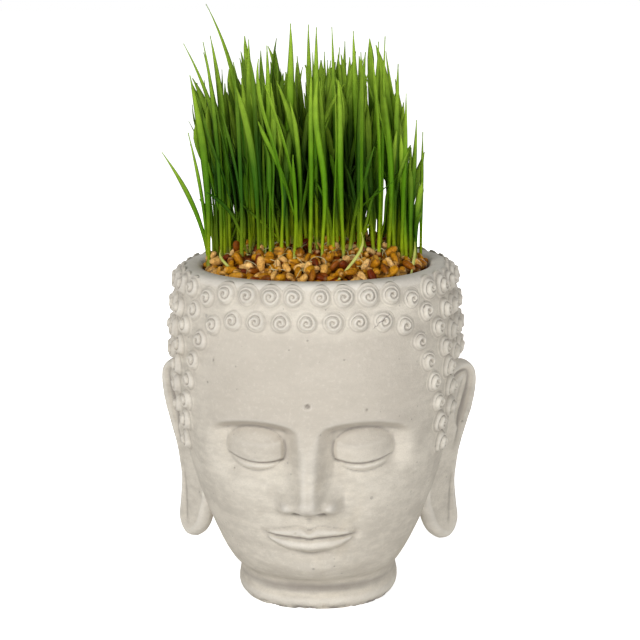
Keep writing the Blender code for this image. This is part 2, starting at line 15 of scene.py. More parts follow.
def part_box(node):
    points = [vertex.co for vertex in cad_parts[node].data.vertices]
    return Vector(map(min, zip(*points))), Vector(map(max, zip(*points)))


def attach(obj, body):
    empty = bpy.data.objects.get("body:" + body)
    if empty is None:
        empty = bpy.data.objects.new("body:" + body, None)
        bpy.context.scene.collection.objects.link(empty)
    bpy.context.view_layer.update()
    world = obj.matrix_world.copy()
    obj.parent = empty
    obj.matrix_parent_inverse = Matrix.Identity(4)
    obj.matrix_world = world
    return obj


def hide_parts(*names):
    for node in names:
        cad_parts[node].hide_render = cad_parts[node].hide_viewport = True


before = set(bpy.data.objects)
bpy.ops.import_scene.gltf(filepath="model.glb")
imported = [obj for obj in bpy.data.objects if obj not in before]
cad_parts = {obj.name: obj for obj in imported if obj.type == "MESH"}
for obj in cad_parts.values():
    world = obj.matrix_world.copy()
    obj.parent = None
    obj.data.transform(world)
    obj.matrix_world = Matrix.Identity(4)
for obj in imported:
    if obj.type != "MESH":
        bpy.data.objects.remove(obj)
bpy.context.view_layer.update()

bl_info = {
    "name": "Wheatgrass Planter",
    "version": (1, 0, 0),
    "blender": (4, 5, 0),
    "location": "View3D > Sidebar > Wheatgrass",
    "description": "Builds a concrete head planter with sprouted grain and wheatgrass",
    "category": "Add Mesh",
}

MM = 0.001

# What the frame says about where everything sits.
SOIL_LOW, SOIL_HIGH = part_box("soil")
BED_LOW, BED_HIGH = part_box("grain_bed")
AXIS_Y = (SOIL_LOW.y + SOIL_HIGH.y) / 2
CRUST_RADIUS = BED_HIGH.x

# The casting, as in the part: (height, half width, depth to the front, depth to the back) in millimetres.
SQUARENESS = 2.25
HEAD_STATIONS = (
    (0, 40.5, 43.0, 43.5),
    (2.5, 42.5, 45.0, 45.5),
    (14, 42.5, 45.5, 46.0),
    (18, 43.5, 49.0, 46.5),
    (23, 46.5, 58.5, 47.0),
    (30, 50.5, 65.0, 48.0),
    (40, 55.5, 67.5, 50.5),
    (52, 60.5, 69.5, 56.0),
    (66, 65.5, 72.0, 63.0),
    (80, 69.0, 74.0, 69.0),
    (95, 71.5, 75.5, 73.5),
    (110, 73.2, 77.0, 76.5),
    (125, 74.6, 78.0, 78.0),
    (140, 75.2, 77.8, 78.0),
    (155, 74.6, 76.5, 76.8),
    (168, 73.0, 74.5, 74.6),
    (176, 71.6, 72.8, 72.8),
    (180, 69.8, 71.0, 71.0),
)
# The hollow: (height, radius) in millimetres.
CAVITY_STATIONS = ((14, 30.0), (38, 42.5), (65, 51.0), (100, 58.0), (140, 60.5), (178.5, 60.5), (180, 61.6))
DRAIN_RADIUS = 7 * MM
RIM_START_Z = 176 * MM
# The underside's rings, as shares of the way out to the foot's edge, and the heights in millimetres of the
# close rings over the foot.
UNDERSIDE_SHARES = (0.0, 0.4, 0.8, 0.96)
FOOT_HEIGHTS = (0.0, 0.4, 0.8, 1.3, 1.9, 2.6, 3.6, 5, 7, 9, 11, 13, 14.5, 15.6, 16.4)
# The rim: (share of the way in over it, rise in millimetres).
RIM_PROFILE = (
    (0.0, 0.0), (0.02, 1.3), (0.07, 2.5), (0.15, 3.4), (0.27, 3.9), (0.42, 4.05), (0.58, 4.0), (0.72, 3.8),
    (0.85, 3.3), (0.94, 2.4), (0.985, 1.2), (1.0, 0.0),
)
# How many larger air holes its skin has.
AIR_HOLES = 26
# The mesh is fine as far round as this, and has so many columns from there to the middle of the back.
FACE_REACH_DEG = 64
BACK_COLUMNS = 50

# The canon of the face, in millimetres: equal thirds from hairline to chin, and five eye widths across.
HAIRLINE_Z = 150
CHIN_Z = 20
THIRD = (HAIRLINE_Z - CHIN_Z) / 3
BROW_Z = HAIRLINE_Z - THIRD
NOSE_BASE_Z = BROW_Z - THIRD
MOUTH_Z = NOSE_BASE_Z - THIRD / 3
EYE_Z = BROW_Z - 0.28 * THIRD
FACE_WIDTH = 137
EYE_WIDTH = FACE_WIDTH / 5
MOUTH_HALF = 0.82 * EYE_WIDTH
# The heights over which the face fades in above the neck, and out again below the hair.
FACE_FADE = (17, 24, 148, 154)
FOREHEAD_MARK_Z = 119
# The nose: (height, rise of the ridge, half width of the ridge) in millimetres.
NOSE_STATIONS = (
    (59.0, 0.0, 7.8),
    (62.0, 3.0, 8.0),
    (64.5, 11.0, 7.8),
    (68.5, 15.4, 7.5),
    (74.0, 13.8, 6.8),
    (84.0, 9.2, 6.0),
    (94.0, 5.4, 5.6),
    (102.0, 2.8, 6.2),
    (112.0, 0.8, 7.5),
    (120.0, 0.0, 8.0),
)
# Soft swellings and dips, in millimetres: (rise, distance from the middle, height, half width, half height).
FACE_SWELLINGS = (
    # The chin, and the dip between it and the mouth.
    (4.4, 0, 29, 14, 8.5),
    (-2.6, 0, 39.2, 14, 3.6),
    # The cheeks, the cheekbones and the folds beside the mouth.
    (3.2, 36, 67, 16, 17),
    (1.4, 47, 86, 12, 8),
    (-1.0, 24, 58, 4, 7),
    # The forehead.
    (1.2, 0, 132, 40, 16),
)
# The wings of the nose, the creases behind them and the nostrils.
NOSE_SWELLINGS = (
    (7.0, 11.8, 67.0, 4.2, 4.6),
    (-1.3, 17.0, 69.5, 2.2, 5.0),
    (-3.6, 6.2, 62.6, 2.8, 1.6),
)

# The curls: low domes with a spiral groove and a small pit, larger at the sides of the head.
CURL_RADIUS = 4.9 * MM
CURL_HEIGHT = 3.4 * MM
CURL_ARM = 2.7 * MM
SIDE_CURL_RADIUS = 5.6 * MM
SIDE_CURL_HEIGHT = 4.8 * MM
GROOVE_DEPTH = 1.5 * MM
PIT_DEPTH = 1.3 * MM
PIT_RADIUS = 0.85 * MM
CURL_SIDES = 34
DOME_RINGS = 15
# A curl's last rings, from the edge of its dome out over its foot: (reach beside its radius, lift in
# millimetres, how far it lies in a hollow at the least, which paints shade round the foot).
CURL_FOOT = (
    (1.0, 0.22, 0.70), (1.08, 0.10, 0.72), (1.18, -0.03, 0.60), (1.30, -0.25, 0.5), (1.42, -1.5, 0.5),
)
# How far apart the curls stand, and how high the level rows are.
CURL_GAP = 11.8 * MM
CURL_PITCH = 13.3 * MM
LEVEL_PITCH = 13.8 * MM
LEVEL_ROWS = 10
ROW_PITCH = 12.3 * MM
TOP_ROW_Z = 173.2 * MM
NAPE_Z = 56 * MM
# Where the first two rows run, as (degrees from the middle of the face, height in millimetres).
HAIR_EDGE_ROW = (
    (0, 160.8), (26, 160.8), (37, 158), (46, 147.5), (53, 132), (59, 115.5), (65, 98), (67.5, 90),
)
HAIR_SECOND_ROW = ((0, 173.2), (30, 173.2), (41, 169), (53, 155.5), (61, 138), (67, 121.5), (71, 107))
SECOND_ROW_GAP = 10.6 * MM
# No curls grow beside the ears, and curls turned further than this from the face are the back piece's.
EAR_ZONE_DEG = (75, 109)
EAR_ZONE_TOP = 128 * MM
FRONT_CURLS_DEG = 100
# A hairline crack runs over one curl of the front.
CRACK_AT = (0.0375, -0.0685, 0.1615)
CRACK_ACROSS = (-0.62, 0.0, 0.78)

# The ears: an outline of (distance from the root, height) in millimetres, swept back.
EAR_OUTLINE = (
    (-8, 112), (4, 120), (15, 125), (25, 124.5), (31, 119), (32, 110), (28.5, 98), (22, 86), (17, 73),
    (14.5, 60), (15.5, 48), (16.5, 38), (13.5, 31), (8, 27.2), (2, 28.5), (-5, 34), (-10, 43), (-14, 60),
)
EAR_THICKNESS = 9 * MM
EAR_ROOT_X = 64 * MM
EAR_ROOT_Y = -8 * MM
EAR_SWEEP_DEG = 52

# The bed of grain and the stand of grass.
BED_EDGE_TOP = 178.2 * MM
BED_CROWN_TOP = 193.5 * MM
# How far below the bed's top the crust lies, and how deep the shoots and the young sprouts are rooted.
CRUST_SINK = 3.6 * MM
ROOT_DEPTH = 3.5 * MM
SPROUT_DEPTH = 1.5 * MM
# The layers of grains: (piece, name of its count, sides, rings, tilt), then in millimetres the least gap
# between two grains, their lift over the bed and its spread.
GRAIN_LAYERS = (
    ("grains_lower", "lower_grains", 8, 7, 0.25, 3.6, -2.4, 0.4),
    ("grains_upper", "upper_grains", 12, 9, 0.75, 4.1, -0.2, 1.7),
)
# The stand fills an oval of the bed, set back from the front of the rim.
STAND_HALF_WIDTH = 56 * MM
STAND_HALF_DEPTH = 45 * MM
STAND_SET_BACK = 9 * MM
SHOOT_GAP = 3.4 * MM
# How far the tips lean out at the two ends of the stand, and how far out they may reach.
LEFT_SPLAY, RIGHT_SPLAY = 11 * MM, 1 * MM
TIP_LEFT, TIP_RIGHT = -66 * MM, 56 * MM
# In millimetres: how much neighbouring tips differ in height, how much whole clumps do, and the highest that
# a tip may be, apart from those of the lone blades.
TIP_SPREAD = 9.0
CLUMP_SPREAD = 15
HIGHEST_TIP = 299
# How many cross-sections a shoot and a second leaf have, and their least half width.
SHOOT_RINGS, LEAF_RINGS = 17, 13
LEAST_HALF_WIDTH = 0.28 * MM
# Blades that stand out of the rest: where each grows, where its tip is, how high that is, all in millimetres,
# how late it bends, and how wide it is beside a full blade.
LONE_BLADES = (
    ((-57, -4), (-79, -12), 240, 1.75, 0.70),
    ((-57, 2), (-67, 0), 243, 1.9, 0.42),
    ((-57, -9), (-65, -10), 250, 2.0, 0.45),
    ((-56, 7), (-64, 6), 264, 2.2, 0.42),
    ((-56, -12), (-62, -16), 280, 3.0, 1.05),
    ((-47, -6), (-66, -10), 296, 3.0, 0.85),
    ((-50, 4), (-58, 0), 291, 2.8, 0.50),
    ((-49, -14), (-56, -18), 297, 2.8, 0.70),
    ((-45, -10), (-53, -12), 300, 2.6, 0.95),
    ((-34, -10), (-54, -14), 316, 3.4, 1.00),
    ((-32, -12), (-32, -14), 298, 1.6, 1.25),
    ((-22, -16), (-23, -20), 295, 1.6, 0.90),
    ((-11, -18), (-12, -20), 306, 1.6, 1.10),
    ((-3, 4), (-2, 0), 305, 1.4, 0.80),
    ((2, -22), (3, -20), 304, 1.8, 0.85),
    ((13, -12), (10, -14), 304, 1.6, 0.70),
    ((24, -14), (22, -16), 302, 1.8, 1.00),
    ((31, 4), (33, 0), 296, 1.4, 0.70),
    ((35, -10), (38, -12), 299, 1.7, 0.50),
    ((42, -8), (44, -10), 285, 1.5, 0.80),
    ((46, -12), (48, -14), 270, 1.4, 0.95),
    ((51, -4), (53, -8), 256, 1.3, 0.65),
    ((56, 4), (57, 2), 249, 1.3, 0.45),
)
# Pale young sprouts that curl up among the grains in front: where each grows, where its tip is, and how high
# that is, all in millimetres.
SPROUTS = (
    ((14, -55), (26, -46), 202),
    ((-38, -40), (-47, -33), 191),
    ((51, -30), (53, -24), 194),
)

# Tones that belong to a finish and aren't the user's to set.
# Partly the concrete's own blotchy tone over the brow, partly painted shade.
BROW_SHADE_TONE = (0.465, 0.42, 0.36)
GRIT_TONE = (0.40, 0.375, 0.33)
SAND_TONE = (0.76, 0.72, 0.65)
# Painted shade in creases and hollows.
CREASE_SHADE_TONE = (0.23, 0.205, 0.185)
# Painted highlight on convex edges.
EDGE_HIGHLIGHT_TONE = (0.80, 0.775, 0.73)
# Painted shade inside pinholes and air holes.
HOLE_SHADE_TONE = (0.26, 0.24, 0.22)
CHIP_TONE = (0.86, 0.84, 0.81)
CRACK_TONE = (0.17, 0.15, 0.14)
GRIME_TONE = (0.13, 0.12, 0.11)
CRUMB_TONE = (0.13, 0.06, 0.018)
FIBRE_TONE = (0.28, 0.15, 0.05)
STREAK_TONE = (0.16, 0.065, 0.02)
BRUSH_END_TONE = (0.70, 0.46, 0.19)
GERM_END_TONE = (0.22, 0.075, 0.02)
# Painted shade in a grain's crease.
GRAIN_CREASE_SHADE_TONE = (0.09, 0.035, 0.012)
GREEN_ROOT_TONE = (0.50, 0.46, 0.18)
# Painted shade on the inner blades of the stand.
INNER_SHADE_TONE = (0.003, 0.022, 0.0015)
RIB_TONE = (0.24, 0.38, 0.02)
MIDRIB_TONE = (0.25, 0.38, 0.03)

# The lights: (name, place in metres, width in metres, power in watts). They all point at one place.
LIGHTS = (
    ("key_light", (-0.75, -1.2, 0.80), 0.42, 12.6),
    ("fill_light", (0.95, -1.1, 0.40), 0.9, 6.2),
    ("low_light", (0.15, -1.3, 0.08), 0.6, 6.8),
    ("back_light", (0.25, 1.4, 0.70), 1.0, 9.0),
)
LIGHT_TARGET = (0, 0, 0.14)
FLOOR_HALF_WIDTH = 30.0
# The width of the camera's sensor in millimetres, and of its picture in pixels.
SENSOR_WIDTH = 36.0
PICTURE_PIXELS = 640

# How often a shoot, grain or root looks for room to stand in.
ROOM_TRIES = 60
# One seed for each random draw.
AIR_HOLE_SEED, CURL_SEED, GRAIN_SEED, ROOTLET_SEED, GRASS_SEED = 5, 21, 33, 44, 55


def smoothstep(low, high, value):
    """0 below the low end, 1 above the high end, and a smooth rise between them."""
    u = np.clip((value - low) / (high - low), 0, 1)
    return u * u * (3 - 2 * u)


def plateau(value, start, full, ending, end):
    """A smooth rise from 0 to 1, a stretch at 1, and a smooth fall back to 0."""
    return smoothstep(start, full, value) * (1 - smoothstep(ending, end, value))


def bell(value, wide):
    """1 where the value is 0, and a soft fall to 0 on both sides of it."""
    return np.exp(-((value / wide) ** 2))


def bump(x, z, at_x, at_z, wide, tall):
    """A soft round swelling of height 1 at one place."""
    return bell(x - at_x, wide) * bell(z - at_z, tall)


def swellings(side, z, table):
    """The sum of a table's soft swellings at a place on the face."""
    return sum(rise * bump(side, z, *shape) for rise, *shape in table)


def smooth_through(stations, column, z):
    """A smooth curve through one column of stations, read at the height z, all of it in millimetres."""
    table = np.array(stations, float)
    heights, values = table[:, 0], table[:, column]
    slopes = np.gradient(values, heights)
    z = np.clip(z, heights[0], heights[-1])
    i = np.clip(np.searchsorted(heights, z, side="right") - 1, 0, len(heights) - 2)
    span = heights[i + 1] - heights[i]
    u = (z - heights[i]) / span
    return (
        (2 * u**3 - 3 * u**2 + 1) * values[i]
        + (u**3 - 2 * u**2 + u) * span * slopes[i]
        + (3 * u**2 - 2 * u**3) * values[i + 1]
        + (u**3 - u**2) * span * slopes[i + 1]
    )


def eye_relief(side, z):
    """Brow, socket and closed lids. This and the other reliefs of the face and ears are in millimetres."""
    arch = BROW_Z + 4.5 * (1 - ((side - 27) / 24) ** 2)
    across = plateau(side, 4, 13, 40, 55)
    socket = smoothstep(0, 6, arch - z) * smoothstep(72, 90, z)
    ridge = bell(z - arch - 1.5, 4)
    ball = np.clip(1 - ((side - EYE_WIDTH) / 15.5) ** 2 - ((z - EYE_Z) / 11.5) ** 2, 0, 1)
    u = (side - EYE_WIDTH) / (EYE_WIDTH / 2)
    lid = EYE_Z - 4.2 - 2.2 * (1 - u**2) + 0.7 * u
    within = 1 - smoothstep(0.92, 1.12, np.abs(u))
    upper_lid = plateau(z - lid, -0.4, 0.4, 9, 12)
    slit = bell(z - lid + 0.6, 0.8)
    lower_rim = bell(z - lid + 3.0, 1.3)
    lids = 1.1 * upper_lid - 1.3 * slit + 0.5 * lower_rim
    return (1.5 * ridge - 7.0 * socket) * across + 6.4 * ball**0.8 + lids * within


def nose_relief(side, z):
    """The ridge of the nose, its wings and its nostrils."""
    rise = np.maximum(smooth_through(NOSE_STATIONS, 1, z), 0)
    half = smooth_through(NOSE_STATIONS, 2, z)
    inside = (z > NOSE_STATIONS[0][0]) & (z < NOSE_STATIONS[-1][0])
    ridge = np.where(inside, rise, 0) / (1 + (side / half) ** 3.2)
    return ridge + swellings(side, z, NOSE_SWELLINGS)


def mouth_relief(side, z):
    """Two closed lips on a soft rise, with a dip at each corner and the groove below the nose."""
    u = side / MOUTH_HALF
    taper = np.clip(1 - u**2, 0, 1)
    bow = 0.5 * bell(side - 5.5, 4) - 1.3 * bell(side, 2.8)
    line = MOUTH_Z + 1.2 * u**2 - 0.7 * bell(side, 3)
    upper = np.maximum(6.4 * taper**0.7 + bow * taper, 0.05)
    lower = np.maximum(8.2 * taper**0.6, 0.05)
    within = 1 - smoothstep(0.9, 1.06, u)
    upper_lip = np.sin(np.pi * np.clip((z - line) / upper, 0, 1)) ** 0.8
    lower_lip = np.sin(np.pi * np.clip((line - z) / lower, 0, 1)) ** 0.8
    lips = (2.4 * upper_lip + 3.2 * lower_lip) * taper**0.5 - 1.4 * bell(z - line, 0.9)
    muzzle = bump(side, z, 0, MOUTH_Z, 25, 15)
    corner = bump(side, z, MOUTH_HALF + 1, MOUTH_Z + 1.2, 2.6, 2.4)
    groove = bell(side, 2.4) * plateau(z, 54, 57, 59, 62)
    return 4.0 * muzzle + lips * within - 1.6 * corner - 1.0 * groove


def forehead_mark(side, z):
    """A small pit with a raised lip, pressed in above the brows."""
    reach = np.hypot(side, z - FOREHEAD_MARK_Z)
    return 0.35 * bell(reach - 2.0, 0.6) - 1.3 * (1 - smoothstep(0.7, 1.8, reach))


def face_relief(x, z):
    """How far the face stands out towards -Y from the plain head, at a place on it seen from the front."""
    side, z = np.abs(x) / MM, z / MM
    relief = eye_relief(side, z) + nose_relief(side, z) + mouth_relief(side, z) + forehead_mark(side, z)
    return (relief + swellings(side, z, FACE_SWELLINGS)) * plateau(z, *FACE_FADE) * MM


def head_point(turn, z):
    """The head's skin: turn is 0 at the middle of the face and a right angle at the ears."""
    turn, z = np.asarray(turn, float), np.asarray(z, float)
    half_width, front, back = (smooth_through(HEAD_STATIONS, column, z / MM) * MM for column in (1, 2, 3))
    c, s = np.cos(turn), np.sin(turn)
    power = 2 / SQUARENESS
    x = half_width * np.sign(s) * np.abs(s) ** power
    y = -np.where(c > 0, front, back) * np.sign(c) * np.abs(c) ** power
    return np.stack([x, AXIS_Y + y - face_relief(x, z) * smoothstep(0.15, 0.5, c), z + 0 * x], axis=-1)


def head_normal(turn, z):
    """The way the head's skin faces at a place on it."""
    turn_step, z_step = 0.005, 0.5 * MM
    around = head_point(turn + turn_step, z) - head_point(turn - turn_step, z)
    up = head_point(turn, z + z_step) - head_point(turn, z - z_step)
    normal = np.cross(around, up)
    return normal / np.linalg.norm(normal)


def along_surface(corners, pitch):
    """Turns and heights evenly spaced along a row that is given by a few (degrees, millimetres) corners."""
    corners = np.array(corners, float)
    share = np.linspace(0, 1, 400)
    at = np.linspace(0, 1, len(corners))
    turns = np.radians(np.interp(share, at, corners[:, 0]))
    heights = np.interp(share, at, corners[:, 1]) * MM
    points = head_point(turns, heights)
    run = np.concatenate([[0], np.cumsum(np.linalg.norm(np.diff(points, axis=0), axis=1))])
    count = max(1, round(run[-1] / pitch))
    wanted = np.linspace(0, run[-1], count + 1)
    return [(float(np.interp(w, run, turns)), float(np.interp(w, run, heights))) for w in wanted]


def outside_hair(turn, z):
    """Whether a place lies beside an ear, below the hairline or below the nape."""
    degrees = abs(math.degrees(turn))
    if EAR_ZONE_DEG[0] < degrees < EAR_ZONE_DEG[1] and z < EAR_ZONE_TOP:
        return True
    if degrees <= EAR_ZONE_DEG[0]:
        edge_turns, edge_heights = zip(*HAIR_EDGE_ROW)
        return z < np.interp(degrees, edge_turns, edge_heights) * MM
    return z < NAPE_Z


def curl_places():
    """(turn, height) of every curl: two rows that follow the hairline down to the temples, then level rows
    spaced evenly from there, or from behind the ears, to the middle of the back."""
    edge = along_surface(HAIR_EDGE_ROW, CURL_PITCH)
    second = along_surface(HAIR_SECOND_ROW, CURL_PITCH)
    half = (edge[1][0] - edge[0][0]) / 2
    places = list(edge)
    kept = [head_point(*place) for place in places]

    def clears(turn, z, gap):
        point = head_point(turn, z)
        return all(np.linalg.norm(point - other) >= gap for other in kept)

    for turn, z in second:
        turn += half
        if clears(turn, z, SECOND_ROW_GAP):
            places.append((turn, z))
            kept.append(head_point(turn, z))
    for row in range(LEVEL_ROWS):
        z = TOP_ROW_Z - row * ROW_PITCH
        turn = math.radians(EAR_ZONE_DEG[1]) if z < EAR_ZONE_TOP else 0.0
        while not clears(turn, z, CURL_GAP) or outside_hair(turn, z):
            turn += 0.01
        arc = (math.pi - turn) * smooth_through(HEAD_STATIONS, 3, z / MM) * MM
        spare = 0.5 * (row % 2)
        steps = round(arc / LEVEL_PITCH - spare)
        level = [(turn + (math.pi - turn) * i / (steps + spare), z) for i in range(steps + 1)]
        places.extend(level)
        kept.extend(head_point(*place) for place in level)
    mirrored = [(-turn, z) for turn, z in places if 0.01 < turn < math.pi - 0.01]
    return places + mirrored


def bed_top(x, y):
    """The bed of grain is mounded: highest at the middle, and level with the rim at its edge."""
    share = min(1.0, math.hypot(x, y - AXIS_Y) / CRUST_RADIUS)
    return BED_EDGE_TOP + (BED_CROWN_TOP - BED_EDGE_TOP) * (1 - share**2)


def new_object(name, data):
    made = bpy.data.objects.new(name, data)
    bpy.context.scene.collection.objects.link(made)
    return made


def store(mesh, name, values):
    """Keeps one value per point with a mesh, for its material to read."""
    layer = mesh.attributes.new(name, "FLOAT", "POINT")
    layer.data.foreach_set("value", np.asarray(values, np.float32))


def piece_from(name, points, faces, material, replaced, values=None):
    """An object of points and faces, with values per point, that rides on the part and has its finish."""
    mesh = bpy.data.meshes.new(name)
    mesh.from_pydata([tuple(p) for p in points], [], [tuple(f) for f in faces])
    mesh.validate()
    mesh.shade_smooth()
    for value_name, value in (values or {}).items():
        store(mesh, value_name, value)
    mesh.materials.append(material)
    piece = new_object(name, mesh)
    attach(piece, "root")
    if replaced:
        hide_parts(replaced)
    return piece


def mark_hollows(mesh, spread, depth, least=0.0):
    """Stores how far each point lies in a hollow of its surface: 0.5 on a flat, 1 in a crease, 0 on an edge.
    A point is given no less than its least value, which adds painted shade at a foot that the mesh alone
    doesn't know."""
    count = len(mesh.vertices)
    points = np.empty(count * 3, np.float32)
    normals = np.empty(count * 3, np.float32)
    mesh.vertices.foreach_get("co", points)
    mesh.vertex_normals.foreach_get("vector", normals)
    ends = np.empty(len(mesh.edges) * 2, np.int32)
    mesh.edges.foreach_get("vertices", ends)
    first, last = ends.reshape(-1, 2).T
    points = points.reshape(-1, 3).astype(float)
    shares = np.bincount(first, minlength=count) + np.bincount(last, minlength=count)
    eased = points.copy()
    for _ in range(spread):
        total = np.stack(
            [
                np.bincount(first, weights=eased[last, axis], minlength=count)
                + np.bincount(last, weights=eased[first, axis], minlength=count)
                for axis in range(3)
            ],
            axis=1,
        )
        eased = 0.5 * eased + 0.5 * total / np.maximum(shares, 1)[:, None]
    sunk = np.einsum("ij,ij->i", eased - points, normals.reshape(-1, 3))
    store(mesh, "hollow", np.clip(0.5 + 0.5 * sunk / depth, least, 1))


def ring_faces(rows, columns, closed_rows=False):
    """Quads between rings of points that are numbered ring after ring."""
    i = np.arange(rows if closed_rows else rows - 1)[:, None]
    j = np.arange(columns)[None, :]
    low = i * columns
    high = ((i + 1) % rows) * columns
    after = (j + 1) % columns
    return np.stack([low + j, low + after, high + after, high + j], axis=-1).reshape(-1, 4)


def closed_faces(rows, columns, turned):
    """The faces of rings with a cap at each end, turned over where the rings run the other way round."""
    faces = ring_faces(rows, columns).tolist()
    faces.append(list(range(columns))[::-1])
    faces.append([(rows - 1) * columns + i for i in range(columns)])
    return [face[::-1] for face in faces] if turned else faces


class Collected:
    """Collects closed bodies, each made of rings of points, into one piece."""

    def __init__(self):
        self.points, self.faces, self.values = [], [], {}
        self.count = 0

    def add(self, rings, turned=False, **values):
        """Adds a body. Each of its values is one number, or one for each of its points."""
        rows, around = rings.shape[:2]
        first = self.count
        self.faces.extend([i + first for i in face] for face in closed_faces(rows, around, turned))
        self.points.append(rings.reshape(-1, 3))
        self.count += rows * around
        for name, value in values.items():
            self.values.setdefault(name, []).append(np.broadcast_to(value, rows * around))

    def piece(self, name, material, slot, replaced):
        values = {value_name: np.concatenate(blocks) for value_name, blocks in self.values.items()}
        return piece_from(name, np.concatenate(self.points), self.faces, material, replaced, values)


class Nodes:
    """Short ways to add nodes to a material or a group."""

    def __init__(self, tree):
        self.tree = tree

    def add(self, kind, values=None, **settings):
        node = self.tree.nodes.new(kind)
        for name, value in settings.items():
            setattr(node, name, value)
        for socket, value in (values or {}).items():
            self.feed(node.inputs[socket], value)
        return node

    def feed(self, socket, value):
        if isinstance(value, bpy.types.NodeSocket):
            self.tree.links.new(value, socket)
        else:
            socket.default_value = value

    def noise(self, place, scale, detail=4, roughness=0.55, distortion=0.0):
        values = {"Vector": place, "Scale": scale, "Detail": detail, "Roughness": roughness}
        values["Distortion"] = distortion
        return self.add("ShaderNodeTexNoise", values).outputs["Fac"]

    def band(self, value, low, high, out_low=0.0, out_high=1.0):
        """The value carried from one range to another, with smooth ends."""
        values = {"Value": value, "From Min": low, "From Max": high, "To Min": out_low, "To Max": out_high}
        return self.add("ShaderNodeMapRange", values, interpolation_type="SMOOTHSTEP").outputs["Result"]

    def math(self, operation, first, second=0.0):
        return self.add("ShaderNodeMath", {0: first, 1: second}, operation=operation).outputs[0]

    def times(self, first, second):
        return self.math("MULTIPLY", first, second)

    def vector(self, operation, *values):
        node = self.add("ShaderNodeVectorMath", dict(enumerate(values)), operation=operation)
        return node.outputs["Vector" if operation == "SUBTRACT" else "Value"]

    def mix(self, share, first, second, blend="MIX"):
        node = self.add("ShaderNodeMix", data_type="RGBA", blend_type=blend)
        self.feed(node.inputs["Factor"], share)
        self.feed(node.inputs["A"], first)
        self.feed(node.inputs["B"], second)
        return node.outputs["Result"]

    def coats(self, colour, *coats):
        """The colour under thin coats, lowest first, each given as how much of it shows and its tone."""
        for share, coat in coats:
            colour = self.mix(share, colour, rgb(coat))
        return colour

    def value(self, name):
        return self.add("ShaderNodeAttribute", attribute_name=name).outputs["Fac"]

    def place(self):
        return self.add("ShaderNodeTexCoord").outputs["Object"]

    def relief(self, height, strength, distance, normal=None):
        values = {"Height": height, "Strength": strength, "Distance": distance}
        if normal is not None:
            values["Normal"] = normal
        return self.add("ShaderNodeBump", values).outputs["Normal"]


def rgb(colour):
    return (*colour, 1.0)


def mask_group(name, settings):
    """An empty shader group that takes a place and some settings, and gives a mask."""
    group = bpy.data.node_groups.new(name, "ShaderNodeTree")
    group.interface.new_socket("Vector", in_out="INPUT", socket_type="NodeSocketVector")
    for socket, default in settings:
        made = group.interface.new_socket(socket, in_out="INPUT", socket_type="NodeSocketFloat")
        made.default_value = default
    group.interface.new_socket("Mask", in_out="OUTPUT", socket_type="NodeSocketFloat")
    nodes = Nodes(group)
    return group, nodes, nodes.add("NodeGroupInput").outputs


def mottle_group():
    """Clouds at two sizes over each other, as on any mineral or dry natural surface."""
    settings = (("Broad Scale", 30.0), ("Fine Scale", 200.0), ("Fine Share", 0.4))
    group, nodes, inside = mask_group("Mottle", settings)
    broad = nodes.noise(inside["Vector"], inside["Broad Scale"], detail=5)
    fine = nodes.noise(inside["Vector"], inside["Fine Scale"], detail=3)
    shares = {"Factor": inside["Fine Share"], "A": broad, "B": fine}
    mixed = nodes.add("ShaderNodeMix", shares, data_type="FLOAT")
    nodes.add("NodeGroupOutput", {"Mask": mixed.outputs["Result"]})
    return group


def speck_group():
    """Small round specks or holes scattered over a surface: 1 inside one, 0 outside."""
    group, nodes, inside = mask_group("Specks", (("Scale", 300.0), ("Size", 0.15), ("Share", 0.3)))
    cells = nodes.add("ShaderNodeTexVoronoi", {"Vector": inside["Vector"], "Scale": inside["Scale"]}).outputs
    draws = nodes.add("ShaderNodeSeparateColor", {"Color": cells["Color"]}).outputs
    size = nodes.times(inside["Size"], draws["Green"])
    ends = {"From Min": nodes.times(size, 0.5), "From Max": size, "To Min": 1.0, "To Max": 0.0}
    near = nodes.add("ShaderNodeMapRange", {"Value": cells["Distance"], **ends}).outputs["Result"]
    chosen = nodes.math("LESS_THAN", draws["Red"], inside["Share"])
    nodes.add("NodeGroupOutput", {"Mask": nodes.times(near, chosen)})
    return group


def mottle(nodes, place, broad, fine, share):
    """Adds clouds to a material. Its share is how much the fine ones count."""
    group = bpy.data.node_groups.get("Mottle") or mottle_group()
    values = {"Vector": place, "Broad Scale": broad, "Fine Scale": fine, "Fine Share": share}
    return nodes.add("ShaderNodeGroup", values, node_tree=group).outputs["Mask"]


def specks(nodes, place, scale, size, share):
    """Adds specks to a material. Its share is how many of the places for one have it."""
    group = bpy.data.node_groups.get("Specks") or speck_group()
    values = {"Vector": place, "Scale": scale, "Size": size, "Share": share}
    return nodes.add("ShaderNodeGroup", values, node_tree=group).outputs["Mask"]


def new_material(name, roughness, specular=0.5):
    material = bpy.data.materials.new(name)
    material.use_nodes = True
    shader = material.node_tree.nodes["Principled BSDF"]
    shader.inputs["Roughness"].default_value = roughness
    shader.inputs["Specular IOR Level"].default_value = specular
    return material, Nodes(material.node_tree), shader


def crack_mask(nodes, place):
    """A hairline crack that wanders over one curl, with soft ends."""
    from_crack = nodes.vector("SUBTRACT", place, CRACK_AT)
    wander = nodes.band(nodes.noise(place, 420.0, detail=3), 0.2, 0.8, -0.0008, 0.0008)
    beside = nodes.math("ADD", nodes.vector("DOT_PRODUCT", from_crack, CRACK_ACROSS), wander)
    within = nodes.band(nodes.vector("LENGTH", from_crack), 0.0074, 0.0058)
    return nodes.times(nodes.band(nodes.math("ABSOLUTE", beside), 0.00042, 0.00012), within)


